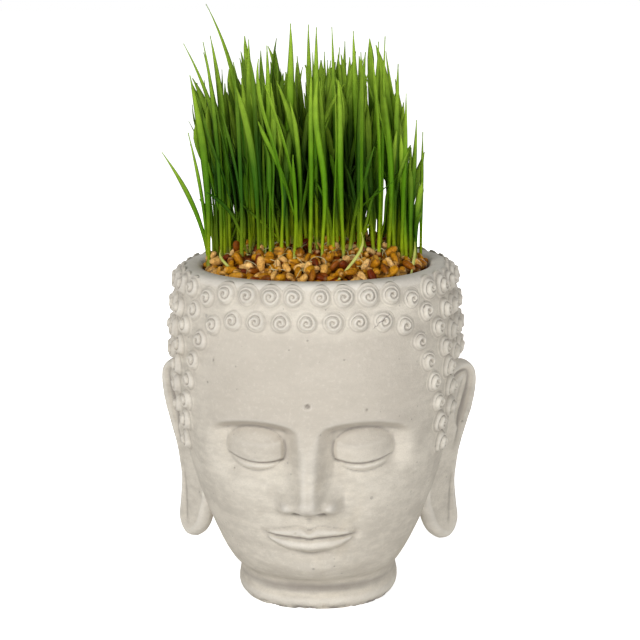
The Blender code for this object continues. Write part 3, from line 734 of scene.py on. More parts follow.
def concrete_material(look):
    """Pale cast concrete: cloudy, with faint warm stains and a grimy foot. Its creases and pinholes carry
    painted shade, its edges a painted highlight, and its brow a darker tone that is partly painted shade.
    """
    if "cast_concrete" in bpy.data.materials:
        return bpy.data.materials["cast_concrete"]
    material, nodes, shader = new_material("cast_concrete", 0.9, specular=0.25)
    place = nodes.place()
    smeared = nodes.add("ShaderNodeMapping", {"Vector": place, "Scale": (1.0, 1.0, 2.4)}).outputs["Vector"]
    clouds = mottle(nodes, smeared, 30.0, 150.0, 0.40)
    grit = nodes.noise(place, 1300.0, detail=4, roughness=0.75)
    sand = nodes.noise(place, 480.0, detail=3, roughness=0.6)
    pinholes = specks(nodes, place, 330.0, 0.24, 0.16)
    holes = nodes.math("MAXIMUM", pinholes, specks(nodes, place, 95.0, 0.13, 0.2))
    hollow = nodes.value("hollow")
    axes = nodes.add("ShaderNodeSeparateXYZ", {"Vector": place}).outputs
    height = axes["Z"]
    # A darker, warmer patch over the brow: partly the concrete's own blotchy tone, partly painted shade that
    # tones down the brightly lit forehead.
    brow_shade = nodes.times(nodes.band(height, 0.078, 0.112), nodes.band(height, 0.162, 0.150))
    brow_shade = nodes.times(brow_shade, nodes.band(axes["Y"], -0.040, -0.066))
    chips = nodes.times(specks(nodes, place, 150.0, 0.13, 0.07), nodes.band(height, 0.10, 0.05))
    patches = nodes.band(nodes.noise(place, 130.0, detail=4), 0.35, 0.62)
    grime = nodes.times(nodes.band(height, 0.0045, 0.0002), patches)
    stain = nodes.band(nodes.noise(place, 19.0, detail=6, roughness=0.62, distortion=0.6), 0.56, 0.78)
    colour = nodes.mix(nodes.band(clouds, 0.36, 0.64), rgb(look.shade_colour), rgb(look.concrete_colour))
    colour = nodes.coats(
        colour,
        (nodes.times(stain, look.stain_strength), look.stain_colour),
        (nodes.times(brow_shade, 0.70), BROW_SHADE_TONE),
        (nodes.band(grit, 0.35, 0.75, 0.0, 0.30), GRIT_TONE),
        (nodes.band(sand, 0.52, 0.72, 0.0, 0.15), SAND_TONE),
        # Painted shade: the creases and hollows of the casting, the curls and the ears are darkened.
        (nodes.times(nodes.band(hollow, 0.54, 1.0), look.crease_shade_strength), CREASE_SHADE_TONE),
        # Painted highlight: convex edges are lightened.
        (nodes.times(nodes.band(hollow, 0.46, 0.2), 0.22), EDGE_HIGHLIGHT_TONE),
        # Painted shade: the pinholes and air holes are darkened inside.
        (nodes.times(holes, 0.5), HOLE_SHADE_TONE),
        (nodes.times(chips, 0.6), CHIP_TONE),
        (nodes.times(crack_mask(nodes, place), 0.75), CRACK_TONE),
        (nodes.times(grime, 0.7), GRIME_TONE),
    )
    nodes.feed(shader.inputs["Base Color"], colour)
    nodes.feed(shader.inputs["Roughness"], nodes.band(clouds, 0.3, 0.7, 0.84, 0.96))
    fine = nodes.relief(nodes.math("ADD", grit, sand), 0.42, 0.00045)
    waves = nodes.relief(clouds, 0.35, 0.0012, fine)
    sunk = nodes.math("SUBTRACT", 1.0, holes)
    nodes.feed(shader.inputs["Normal"], nodes.relief(sunk, 0.55, 0.0006, waves))
    return material


def soil_material(look):
    """Damp crumbly growing medium, near black with paler fibres and crumbs."""
    material, nodes, shader = new_material("growing_medium", 0.95, specular=0.2)
    place = nodes.place()
    crumbs = mottle(nodes, place, 260.0, 900.0, 0.5)
    fibres = nodes.times(specks(nodes, place, 420.0, 0.3, 0.25), 0.6)
    coats = ((nodes.band(crumbs, 0.35, 0.65), CRUMB_TONE), (fibres, FIBRE_TONE))
    nodes.feed(shader.inputs["Base Color"], nodes.coats(rgb(look.soil_colour), *coats))
    nodes.feed(shader.inputs["Normal"], nodes.relief(crumbs, 0.9, 0.0015))
    return material


def grain_material(look):
    """Soaked wheat: a golden-brown husk with a dull shine, painted shade in its crease, and pale at its brush
    end.
    """
    material, nodes, shader = new_material("sprouted_grain", 0.45, specular=0.12)
    tone = nodes.value("tone")
    end = nodes.value("end")
    streaks = nodes.noise(nodes.place(), 900.0, detail=3)
    colour = nodes.mix(nodes.band(tone, 0.02, 0.55), rgb(look.dark_colour), rgb(look.grain_colour))
    colour = nodes.mix(nodes.band(tone, 0.55, 0.95), colour, rgb(look.husk_colour))
    colour = nodes.mix(nodes.band(streaks, 0.35, 0.7, 0.0, 0.5), colour, rgb(STREAK_TONE), "MULTIPLY")
    colour = nodes.coats(
        colour,
        (nodes.band(end, 0.72, 1.0, 0.0, 0.5), BRUSH_END_TONE),
        (nodes.band(end, 0.16, 0.0, 0.0, 0.5), GERM_END_TONE),
        # Painted shade: the grain's crease is darkened.
        (nodes.times(nodes.value("crease"), 0.75), GRAIN_CREASE_SHADE_TONE),
    )
    nodes.feed(shader.inputs["Base Color"], colour)
    nodes.feed(shader.inputs["Roughness"], nodes.band(streaks, 0.3, 0.7, 0.3, 0.6))
    nodes.feed(shader.inputs["Normal"], nodes.relief(streaks, 0.35, 0.0003))
    return material


def rootlet_material(look):
    """Young roots: cream, some of them greenish."""
    material, nodes, shader = new_material("young_root", 0.5)
    colour = nodes.coats(rgb(look.rootlet_colour), (nodes.value("tone"), GREEN_ROOT_TONE))
    nodes.feed(shader.inputs["Base Color"], colour)
    return material


def blade_material(look):
    """A grass blade: pale at its sheath, yellow-green above it and deep green between, finely ribbed, with
    painted shade on inner blades and paler tips that are partly a painted sheen.
    """
    material, nodes, shader = new_material("grass_blade", 0.55, specular=0.08)
    along = nodes.value("along")
    tone = nodes.value("tone")
    across = nodes.value("across")
    yellowed = nodes.times(nodes.band(along, 0.38, 0.0), nodes.band(tone, 0.0, 1.0, 0.55, 1.0))
    # Painted shade: blades inside the stand are darkened below their tips, in place of the shade the outer
    # blades cast.
    shade = nodes.times(nodes.value("inner"), nodes.band(along, 0.88, 0.50))
    shade = nodes.times(shade, nodes.band(along, 0.06, 0.30))
    rib = nodes.math("SINE", nodes.times(across, 34.0))
    midrib = nodes.band(nodes.math("ABSOLUTE", across), 0.12, 0.0)
    streaks = nodes.noise(nodes.place(), 160.0, detail=3)
    colour = nodes.coats(
        rgb(look.deep_colour),
        (nodes.band(tone, 0.0, 0.9), look.leaf_colour),
        # Paler, milkier tips: partly the blade's own colour, partly a painted sheen.
        (nodes.band(along, 0.46, 0.94, 0.0, 0.9), look.tip_sheen_colour),
        (nodes.band(tone, 0.4, 0.0, 0.0, 0.55), look.deep_colour),
        (yellowed, look.stem_colour),
        (nodes.times(shade, look.inner_shade), INNER_SHADE_TONE),
        (nodes.band(along, 0.085, 0.0), look.sheath_colour),
        (nodes.band(rib, -0.6, 0.9, 0.0, 0.10), RIB_TONE),
        (nodes.times(midrib, 0.18), MIDRIB_TONE),
        (nodes.band(streaks, 0.35, 0.75, 0.0, 0.3), look.deep_colour),
    )
    nodes.feed(shader.inputs["Base Color"], colour)
    nodes.feed(shader.inputs["Normal"], nodes.relief(rib, 0.12, 0.0002))
    return material


def cast_turns(fine_step_deg, fine_reach_deg, back_columns):
    """Turns round the head: fine over the face, and wider apart towards the back."""
    fine = np.arange(0, fine_reach_deg, fine_step_deg)
    share = np.linspace(0, 1, back_columns + 1)
    wide = fine_reach_deg + (180 - fine_reach_deg) * (0.55 * share + 0.45 * share**1.6)
    half = np.concatenate([fine, wide])
    return np.radians(np.concatenate([half, -half[-2:0:-1]]))


def cast_rings(turns):
    """Every ring of the casting, from the drain hole out under the foot, up the skin, over the rim and down
    the hollow to the drain hole again."""
    east, south = np.sin(turns), -np.cos(turns)

    def circle(radius, z):
        return np.stack([radius * east, AXIS_Y + radius * south, np.full_like(turns, z)], axis=-1)

    foot_edge = head_point(turns, 0.0)
    drain_low = circle(DRAIN_RADIUS, 0.0)
    rings = [drain_low + (foot_edge - drain_low) * share for share in UNDERSIDE_SHARES]
    rings += [head_point(turns, z * MM) for z in FOOT_HEIGHTS]
    rings += [head_point(turns, z * MM) for z in np.arange(17, 125, 0.62)]
    rings += [head_point(turns, z * MM) for z in np.arange(125.6, RIM_START_Z / MM, 1.7)]
    outer = head_point(turns, RIM_START_Z)
    inner = circle(CAVITY_STATIONS[-2][1] * MM, RIM_START_Z)
    rings += [outer + (inner - outer) * share + np.array([0, 0, rise * MM]) for share, rise in RIM_PROFILE]
    rings += [circle(radius * MM, z * MM) for z, radius in reversed(CAVITY_STATIONS[:-2])]
    cavity_floor = CAVITY_STATIONS[0][0] * MM
    rings += [circle(DRAIN_RADIUS, cavity_floor), circle(DRAIN_RADIUS, cavity_floor / 2)]
    return np.array(rings)


def roughen_cast(points, outer_rings):
    """Small unevenness of a hand-poured casting: soft waves, a few larger air holes and a chipped foot."""
    shape = points.shape
    flat = points.reshape(-1, 3)
    outward = flat - np.array([0, AXIS_Y, 0])
    outward[:, 2] = 0
    outward /= np.maximum(np.linalg.norm(outward, axis=1), 1e-6)[:, None]
    ring_of = np.repeat(np.arange(shape[0]), shape[1])
    on_skin = (ring_of >= outer_rings[0]) & (ring_of < outer_rings[1])
    draw = random.Random(AIR_HOLE_SEED)
    air_holes = []
    for _ in range(AIR_HOLES):
        turn = draw.uniform(-1.5, 1.5)
        air_holes.append((head_point(turn, draw.uniform(20, 150) * MM), draw.uniform(0.5, 1.1) * MM))
    push = np.zeros(len(flat))
    chipped_height = 4.5 * MM
    for i in np.nonzero(on_skin)[0]:
        place = Vector(flat[i])
        push[i] = 0.22 * MM * noise.noise(place * 60) + 0.08 * MM * noise.noise(place * 230)
        if flat[i, 2] < chipped_height:
            chip = noise.noise(place * 190) + 0.5 * noise.noise(place * 520)
            push[i] -= max(0.0, chip - 0.12) * 3.2 * MM * (1 - flat[i, 2] / chipped_height)
    for centre, radius in air_holes:
        reach = np.linalg.norm(flat - centre, axis=1)
        push -= np.where(on_skin, 0.9 * radius * (1 - smoothstep(0.3 * radius, 1.1 * radius, reach)), 0)
    return (flat + outward * push[:, None]).reshape(shape)


def colour_setting(name, description, default):
    return FloatVectorProperty(name=name, description=description, subtype="COLOR", size=3, default=default)


def share_setting(name, description, default):
    return FloatProperty(name=name, description=description, default=default, min=0, max=1, subtype="FACTOR")


def size_setting(name, description, default):
    return FloatProperty(name=name, description=description, default=default, unit="LENGTH")


def turn_setting(name, description, default):
    return FloatProperty(name=name, description=description, default=math.radians(default), unit="ROTATION")


def count_setting(name, description, default):
    return IntProperty(name=name, description=description, default=default, min=1)


class PlanterLook(bpy.types.PropertyGroup):
    """The casting's mesh and finish."""

    concrete_colour: colour_setting("Concrete", "Pale tone of the concrete", (0.64, 0.592, 0.51))
    shade_colour: colour_setting("Clouds", "Darker tone of the concrete", (0.50, 0.458, 0.392))
    stain_colour: colour_setting("Stain", "Warm stain in the concrete", (0.55, 0.46, 0.33))
    stain_strength: share_setting("Stain strength", "How much the stains show", 0.35)
    # Painted shade: how dark the creases are painted.
    crease_shade_strength: share_setting("Creases", "How dark the creases are", 0.75)
    mesh_step: FloatProperty(
        name="Mesh step", description="Spacing of the mesh over the face, in degrees",
        default=0.46, min=0.3, max=2,
    )


class BedLook(bpy.types.PropertyGroup):
    """The bed of sprouted grain."""

    grain_length: size_setting("Grain length", "Length of one swollen grain", 7.8 * MM)
    lower_grains: count_setting("Lower grains", "Most grains in the lower layer", 560)
    upper_grains: count_setting("Upper grains", "Most grains lying on those", 640)
    rootlets: count_setting("Rootlets", "Most pale threads among the grains", 105)
    grain_colour: colour_setting("Grain", "Golden brown of the husk", (0.62, 0.28, 0.010))
    dark_colour: colour_setting("Dark grain", "Tone of the darkest grains", (0.17, 0.024, 0.001))
    husk_colour: colour_setting("Dry husk", "Tone of the palest husks", (0.95, 0.60, 0.22))
    rootlet_colour: colour_setting("Rootlet", "Tone of the young roots", (0.66, 0.58, 0.36))
    soil_colour: colour_setting("Soil", "Tone of the damp soil", (0.035, 0.010, 0.002))


class GrassLook(bpy.types.PropertyGroup):
    """The stand of wheatgrass."""

    shoots: count_setting("Shoots", "Number of shoots before the thinning", 290)
    stand_height: size_setting("Stand height", "Height of most tips in the stand", 277 * MM)
    half_width: size_setting("Half width", "Half the width of a full blade", 2.15 * MM)
    second_leaf_share: share_setting("Second leaves", "Share of shoots with a second leaf", 0.34)
    short_share: share_setting("Short shoots", "Share of shoots that are young, short and thin", 0.24)
    right_thinning: share_setting("Right thinning", "Share of shoots missing on the right side", 0.4)
    leaf_colour: colour_setting("Leaf", "Bright green of the blades", (0.085, 0.225, 0.002))
    deep_colour: colour_setting("Deep leaf", "Darkest green of the blades", (0.010, 0.065, 0.002))
    # Partly the tips' own green, partly a painted sheen.
    tip_sheen_colour: colour_setting("Tip", "Green near the tips", (0.27, 0.42, 0.034))
    stem_colour: colour_setting("Stem", "Yellow-green above the sheath", (0.31, 0.38, 0.003))
    sheath_colour: colour_setting("Sheath", "Pale foot of each shoot", (0.60, 0.60, 0.18))
    inner_shade: share_setting("Inner shade", "How dark the inner blades are below their tips", 0.9)


class StageLook(bpy.types.PropertyGroup):
    """Camera, lights and floor."""

    camera_distance: size_setting("Distance", "Level distance from the pot's axis to the camera", 0.9)
    camera_height: size_setting("Height", "Camera height above the floor", 0.322)
    camera_turn: turn_setting("Turn", "How far the camera stands round to the right", 3.5)
    camera_pitch: turn_setting("Pitch", "How far the camera looks down", 10.95)
    camera_roll: turn_setting("Roll", "Tilt of the camera about its own line of sight", -0.5)
    focal_pixels: FloatProperty(
        name="Focal length", description="Focal length in pixels of the picture", default=1700.0, min=1
    )
    floor_colour: colour_setting("Floor", "Tone of the floor", (0.88, 0.87, 0.85))
    floor_glow: share_setting("Floor glow", "Light that the floor adds, to meet the white behind it", 0.78)
    ambient: share_setting("Ambient", "Strength of the soft light from all round", 0.28)
    camera_shift: FloatProperty(
        name="Shift", description="Sideways shift of the picture, as a share of its width", default=0.0058
    )


class WHEATPOT_OT_casting(bpy.types.Operator):
    """Pour the head: foot, face, rim and hollow in one closed casting"""

    bl_idname = "wheatpot.casting"
    bl_label = "Head casting"

    def execute(self, context):
        look = context.scene.wheatpot_planter
        turns = cast_turns(look.mesh_step, FACE_REACH_DEG, BACK_COLUMNS)
        rings = cast_rings(turns)
        # The skin that gets roughened ends just below the top of the rim.
        skin_end = int(np.argmax(rings[:, 0, 2])) - 3
        rings = roughen_cast(rings, (len(UNDERSIDE_SHARES), skin_end))
        faces = ring_faces(len(rings), len(turns), closed_rows=True)
        piece = piece_from(
            "head_casting", rings.reshape(-1, 3), faces, concrete_material(look), "head_planter"
        )
        mark_hollows(piece.data, spread=14, depth=0.80 * MM)
        return {"FINISHED"}


def curl_height(reach, angle, radius, height, start):
    """A low dome with a spiral groove that winds in to a small pit."""
    u = reach / radius
    dome = height * np.clip(1 - u**2.3, 0, 1) ** 0.75
    phase = (reach / CURL_ARM - angle / (2 * math.pi) + start) % 1.0
    fade = smoothstep(0.0, 0.8 * MM, reach) * (1 - smoothstep(0.72, 0.97, u))
    groove = np.abs(2 * phase - 1) ** 1.6 * fade
    return dome - GROOVE_DEPTH * groove - PIT_DEPTH * bell(reach, PIT_RADIUS)


def curl_points(turn, z, draw):
    """One snail curl on the head: rings of points from its crown to its foot, which eases into the skin."""
    beside = float(smoothstep(math.radians(48), math.radians(72), abs(turn)))
    radius = (CURL_RADIUS + (SIDE_CURL_RADIUS - CURL_RADIUS) * beside) * draw.uniform(0.95, 1.04)
    full_height = CURL_HEIGHT + (SIDE_CURL_HEIGHT - CURL_HEIGHT) * beside
    start = draw.uniform(-0.12, 0.12)
    dome_reaches = np.linspace(0.05, 1.0, DOME_RINGS)[:-1]
    foot_reaches, foot_lifts, _ = np.array(CURL_FOOT).T
    reaches = np.concatenate([dome_reaches, foot_reaches]) * radius
    lifts = np.concatenate([np.full(len(dome_reaches), foot_lifts[0]), foot_lifts]) * MM
    angles = np.linspace(0, 2 * math.pi, CURL_SIDES, endpoint=False)
    reach, angle = np.meshgrid(reaches, angles, indexing="ij")
    height = curl_height(np.minimum(reach, radius), angle, radius, full_height, start) + lifts[:, None]
    out = reach * (1 + 0.03 * np.sin(3 * angle + start * 60))
    normal = head_normal(turn, z)
    across = np.cross([0, 0, 1], normal)
    across /= np.linalg.norm(across)
    up = np.cross(normal, across)
    flat = across * (out * np.cos(angle))[..., None] + up * (out * np.sin(angle))[..., None]
    return head_point(turn, z) + flat + normal * height[..., None]


class WHEATPOT_OT_curls(bpy.types.Operator):
    """Set the snail curls of the hair on the head, in two groups of rows"""

    bl_idname = "wheatpot.curls"
    bl_label = "Snail curls"

    def execute(self, context):
        look = context.scene.wheatpot_planter
        draw = random.Random(CURL_SEED)
        front, back = Collected(), Collected()
        for turn, z in curl_places():
            group = front if abs(turn) < math.radians(FRONT_CURLS_DEG) else back
            group.add(curl_points(turn, z, draw), turned=True)
        # Painted shade round each curl's foot: its last rings count as lying in a hollow at least this far.
        shade = np.zeros((DOME_RINGS - 1 + len(CURL_FOOT), CURL_SIDES))
        shade[-len(CURL_FOOT):] = np.array(CURL_FOOT)[:, 2:]
        for name, group in (("curls_front", front), ("curls_back", back)):
            piece = group.piece(name, concrete_material(look), "concrete", "head_planter")
            least = np.tile(shade.ravel(), len(group.points))
            mark_hollows(piece.data, spread=10, depth=0.40 * MM, least=least)
        return {"FINISHED"}


def smooth_outline(corners, steps):
    """A closed smooth curve through the corners, as points."""
    corners = np.array(corners, float) * MM
    count = len(corners)
    points = []
    for i in range(count):
        before, start, end, after = (corners[(i + k) % count] for k in (-1, 0, 1, 2))
        for u in np.linspace(0, 1, steps, endpoint=False):
            points.append(
                0.5 * (
                    2 * start
                    + (end - before) * u
                    + (2 * before - 5 * start + 4 * end - after) * u**2
                    + (3 * start - before - 3 * end + after) * u**3
                )
            )
    return np.array(points)


def distance_to_outline(points, outline):
    """How far each point is from the nearest stretch of a closed outline."""
    start = outline
    run = np.roll(outline, -1, axis=0) - start
    share = np.einsum("pij,ij->pi", points[:, None] - start[None], run) / np.einsum("ij,ij->i", run, run)
    nearest = start[None] + np.clip(share, 0, 1)[..., None] * run[None]
    return np.linalg.norm(points[:, None] - nearest, axis=2).min(axis=1)


def ear_relief(along, z, inset):
    """How far the rolled rim, the inner ridge and the lobe of an ear rise, less its gutter, bowl and slot."""
    upper = smoothstep(74, 90, z)
    lower = 1 - smoothstep(60, 78, z)
    rim = bell(inset - 2.6, 2.0) * (0.35 + 0.65 * upper)
    gutter = bell(inset - 6.0, 1.9) * upper
    inner_ridge = bell(inset - 9.0, 1.6) * upper
    slope = (z - 106) * math.tan(math.radians(14))
    bowl = np.clip(1 - ((along - 20.0 - slope) / 6.5) ** 2 - ((z - 103) / 15) ** 2, 0, 1)
    slot = bell(along - 8.0 - (z - 45) * 0.12, 1.8) * plateau(z, 33, 40, 60, 70) * lower
    pad = bump(along, z, 9.5, 36, 8, 9)
    return 1.3 * rim - 1.5 * gutter + 0.5 * inner_ridge - 3.6 * bowl**0.8 - 1.2 * slot + 0.9 * pad


def ear_surface():
    """Points and triangles of one ear in its own plane: along the ear, through it, and up."""
    outline = smooth_outline(EAR_OUTLINE, 14)
    step = 0.95 * MM
    low, high = outline.min(axis=0), outline.max(axis=0)
    across, up = np.arange(low[0], high[0], step), np.arange(low[1], high[1], step)
    grid = np.stack(np.meshgrid(across, up), axis=-1)
    grid[1::2, :, 0] += step / 2
    grid = grid.reshape(-1, 2)
    wanted = [Vector(p) for p in np.concatenate([outline, grid])]
    border = [(i, (i + 1) % len(outline)) for i in range(len(outline))]
    points, _, triangles, *_ = geometry.delaunay_2d_cdt(wanted, border, [], 1, 1e-7)
    points = np.array([tuple(p) for p in points])
    inset = distance_to_outline(points, outline)
    roll = np.sqrt(np.clip(1 - (1 - np.clip(inset / (4.2 * MM), 0, 1)) ** 2, 0, 1))
    along, z = points[:, 0], points[:, 1]
    relief = ear_relief(along / MM, z / MM, inset / MM) * MM
    front = -EAR_THICKNESS / 2 * roll - relief * smoothstep(0, 2.2 * MM, inset)
    back = EAR_THICKNESS / 2 * roll
    on_border = inset < 1e-6
    count = len(points)
    other = np.where(on_border, np.arange(count), np.arange(count) + count)
    front_points = np.stack([along, np.where(on_border, 0, front), z], axis=1)
    both = np.concatenate([front_points, np.stack([along, back, z], axis=1)])
    faces = [tuple(t) for t in triangles] + [tuple(other[i] for i in reversed(t)) for t in triangles]
    used = np.unique(np.array(faces))
    renumber = np.full(2 * count, -1)
    renumber[used] = np.arange(len(used))
    return both[used], renumber[np.array(faces)]


class WHEATPOT_OT_ears(bpy.types.Operator):
    """Add the long-lobed ears on both sides of the head"""

    bl_idname = "wheatpot.ears"
    bl_label = "Ears"

    def execute(self, context):
        look = context.scene.wheatpot_planter
        local, faces = ear_surface()
        sweep = math.radians(EAR_SWEEP_DEG)
        x = EAR_ROOT_X + local[:, 0] * math.cos(sweep) - local[:, 1] * math.sin(sweep)
        y = AXIS_Y + EAR_ROOT_Y + local[:, 0] * math.sin(sweep) + local[:, 1] * math.cos(sweep)
        for name, side in (("ear_right", 1), ("ear_left", -1)):
            points = np.stack([side * x, y, local[:, 2]], axis=1)
            turned = faces if side > 0 else faces[:, ::-1]
            piece = piece_from(name, points, turned, concrete_material(look), "head_planter")
            mark_hollows(piece.data, spread=12, depth=0.80 * MM)
        return {"FINISHED"}


def spread_spots(count, radius, gap, draw, depth=None, set_back=0.0):
    """Spots in a disc, or in an oval of another depth, that keep a gap from each other. A spot is left out
    where its tries find no room."""
    spots = np.zeros((0, 2))
    depth = depth or radius
    for _ in range(count):
        for _ in range(ROOM_TRIES):
            reach = math.sqrt(draw.random())
            angle = draw.uniform(0, 2 * math.pi)
            x, y = radius * reach * math.cos(angle), AXIS_Y + set_back + depth * reach * math.sin(angle)
            spot = np.array([x, y])
            if not len(spots) or np.min(np.hypot(*(spots - spot).T)) >= gap:
                spots = np.vstack([spots, spot])
                break
    return spots


def turned_by(yaw, pitch, roll):
    """The rotation that rolls, then pitches, then turns a thing."""
    cy, sy, cp, sp, cr, sr = (f(a) for a in (yaw, pitch, roll) for f in (math.cos, math.sin))
    about_z = np.array([[cy, -sy, 0], [sy, cy, 0], [0, 0, 1]])
    about_y = np.array([[cp, 0, sp], [0, 1, 0], [-sp, 0, cp]])
    about_x = np.array([[1, 0, 0], [0, cr, -sr], [0, sr, cr]])
    return about_z @ about_y @ about_x


def grain_form(around, along):
    """One wheat grain of unit length: its rings, and how near each point is to an end and to the crease."""
    angles = np.linspace(0, 2 * math.pi, around, endpoint=False)
    u, angle = np.meshgrid(np.linspace(-1, 1, along), angles, indexing="ij")
    size = 0.275 * np.maximum(np.cos(u * math.pi / 2), 0.03) ** 0.74 * (1 - 0.16 * u)
    crease = bell(angle - 1.5 * math.pi, 0.32)
    radius = size * (1 - 0.30 * crease)
    germ = 0.03 * bump(u, angle, -0.72, 0.5 * math.pi, 0.2, 0.6)
    x, y = 0.5 * np.sin(u * math.pi / 2), 1.04 * radius * np.cos(angle)
    form = np.stack([x, y, (0.93 * radius + germ) * np.sin(angle)], axis=-1)
    return form, ((u + 1) / 2).ravel(), np.where(np.abs(u) < 0.97, crease, 0.3).ravel()


class WHEATPOT_OT_grains(bpy.types.Operator):
    """Strew the swollen grains over the bed, one layer packed flat and one lying on it"""

    bl_idname = "wheatpot.grains"
    bl_label = "Sprouted grains"

    def execute(self, context):
        look = context.scene.wheatpot_bed
        draw = random.Random(GRAIN_SEED)
        material = grain_material(look)
        for name, count, around, along, tilt, gap, lift, stray in GRAIN_LAYERS:
            form, ends, creases = grain_form(around, along)
            layer = Collected()
            for x, y in spread_spots(getattr(look, count), CRUST_RADIUS - 2.4 * MM, gap * MM, draw):
                length = look.grain_length * draw.uniform(0.82, 1.1)
                wide, deep = length * draw.uniform(0.9, 1.1), length * draw.uniform(0.88, 1.06)
                turn = turned_by(draw.uniform(0, 2 * math.pi), draw.gauss(0, tilt), draw.uniform(-1.2, 4.3))
                z = bed_top(x, y) + lift * MM + draw.gauss(0, stray * MM)
                rings = (form * [length, wide, deep]) @ turn.T + [x, y, z]
                layer.add(rings, tone=draw.random(), end=ends, crease=creases)
            layer.piece(name, material, "grain", "grain_bed")
        return {"FINISHED"}


class WHEATPOT_OT_bed(bpy.types.Operator):
    """Lay the dark crumbly crust that the grains are pressed into, and finish the soil below it"""

    bl_idname = "wheatpot.bed"
    bl_label = "Bed and soil"

    def execute(self, context):
        look = context.scene.wheatpot_bed
        material = soil_material(look)
        turns = np.linspace(0, 2 * math.pi, 96, endpoint=False)
        reaches = np.concatenate([[0.02], np.linspace(0.06, 1, 26)]) * CRUST_RADIUS
        rings = []
        for reach in reaches:
            ring = []
            for turn in turns:
                x, y = reach * math.cos(turn), AXIS_Y + reach * math.sin(turn)
                rough = noise.noise(Vector((x, y, 0)) * 260) + 0.6 * noise.noise(Vector((x, y, 0.01)) * 600)
                ring.append((x, y, bed_top(x, y) - CRUST_SINK + 0.9 * MM * rough))
            rings.append(ring)
        rings.append([(x, y, BED_LOW.z) for x, y, _ in rings[-1]])
        crust = Collected()
        crust.add(np.array(rings), turned=True)
        crust.piece("bed_crust", material, "soil", "grain_bed")
        for material_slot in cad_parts["soil"].material_slots:
            material_slot.material = material
        return {"FINISHED"}


def tube_along(path, radii, sides):
    """The rings of a tube along a path."""
    heading = np.gradient(path, axis=0)
    heading /= np.linalg.norm(heading, axis=1)[:, None]
    aside = np.cross(heading, [0.31, 0.17, 0.93])
    aside /= np.linalg.norm(aside, axis=1)[:, None]
    over = np.cross(heading, aside)
    angles = np.linspace(0, 2 * math.pi, sides, endpoint=False)[None, :, None]
    out = aside[:, None] * np.cos(angles) + over[:, None] * np.sin(angles)
    return path[:, None] + out * np.asarray(radii)[:, None, None]


class WHEATPOT_OT_rootlets(bpy.types.Operator):
    """Thread pale young roots over and between the grains"""

    bl_idname = "wheatpot.rootlets"
    bl_label = "Rootlets"

    def execute(self, context):
        look = context.scene.wheatpot_bed
        draw = random.Random(ROOTLET_SEED)
        roots = Collected()
        steps = 8
        for x, y in spread_spots(look.rootlets, CRUST_RADIUS - 7 * MM, 3 * MM, draw):
            length = draw.uniform(6, 15) * MM
            heading = draw.uniform(0, 2 * math.pi)
            bend = draw.gauss(0, 1.4)
            rise = draw.uniform(1.2, 3.4) * MM
            path = []
            at_x, at_y = x, y
            for i in range(steps + 1):
                share = i / steps
                lift = 0.4 * MM + rise * math.sin(math.pi * share) + 0.3 * MM * math.sin(share * 9 + x * 900)
                path.append((at_x, at_y, bed_top(at_x, at_y) + lift))
                angle = heading + bend * share
                at_x += length / steps * math.cos(angle)
                at_y += length / steps * math.sin(angle)
            if math.hypot(at_x, at_y - AXIS_Y) > CRUST_RADIUS - 1 * MM:
                continue
            radii = draw.uniform(0.16, 0.32) * MM * np.linspace(1, 0.45, steps + 1)
            roots.add(tube_along(np.array(path), radii, 5), tone=draw.random())
        roots.piece("rootlets", rootlet_material(look), "grain", None)
        return {"FINISHED"}


def blade_rings(path, share, half_widths, stem_share, turn, twist, fold):
    """Cross-sections of a blade along its path: a round sheath at its foot that opens into a folded leaf."""
    heading = np.gradient(path, axis=0)
    heading /= np.linalg.norm(heading, axis=1)[:, None]
    rows = len(path)
    angle = turn + twist * share
    level = np.stack([np.cos(angle), np.sin(angle), np.zeros(rows)], axis=1)
    across = level - heading * np.einsum("ij,ij->i", level, heading)[:, None]
    across /= np.linalg.norm(across, axis=1)[:, None]
    over = np.cross(heading, across)
    leaf = smoothstep(stem_share * 0.7, stem_share * 1.8, share)
    places = np.array([-1.0, -0.55, 0.0, 0.55, 1.0, 0.55, 0.0, -0.55])
    sign = np.array([0.0, 0.85, 1.0, 0.85, 0.0, -0.85, -1.0, -0.85])
    thickness = np.maximum(half_widths * 0.92 * (1 - leaf), 0.2 * MM)
    taper = np.clip(half_widths / (0.4 * MM), 0.2, 1)
    dish = (fold * leaf * half_widths)[:, None] * np.abs(places[None]) ** 1.4
    side = half_widths[:, None] * places[None]
    lift = dish + (thickness * taper)[:, None] * sign[None]
    rings = path[:, None] + across[:, None] * side[..., None] + over[:, None] * lift[..., None]
    return rings, places


def grown_path(root, tip, bend, sway, share):
    """A path that leaves the bed nearly upright and leans to its tip, with a slight sway."""
    level = np.array([tip[0] - root[0], tip[1] - root[1], 0.0])
    path = root + level * (share**bend)[:, None]
    path[:, 2] = root[2] + (tip[2] - root[2]) * share
    swing = np.sin(share * math.pi * sway[1]) * share
    return path + np.array([sway[0][0], sway[0][1], 0.0]) * swing[:, None]


def blade_shares(rows):
    """How far along a blade each cross-section is, closer together towards the tip."""
    return 1 - (1 - np.linspace(0, 1, rows)) ** 1.4


def grow_blade(
    blades, path, share, half_widths, stem_share, turn, twist, fold, tone, inner=0.0, ends=(0.0, 1.0)
):
    """Adds one blade. Its ends are how far along a whole shoot its own foot and tip are."""
    rings, across = blade_rings(path, share, half_widths, stem_share, turn, twist, fold)
    along = np.repeat(ends[0] + (ends[1] - ends[0]) * share, len(across))
    blades.add(rings, along=along, across=np.tile(across, len(path)), tone=tone, inner=inner)


def blade_widths(half_width, share, stem, opened, point):
    """Half widths along a blade: a thin round stem, a leaf that is widest high up, and a long point."""
    body = smoothstep(0.1, opened, share)
    width = (stem + (half_width - stem) * body) * np.clip((1 - share) / point, 0, 1) ** 0.75
    return np.maximum(width, LEAST_HALF_WIDTH)


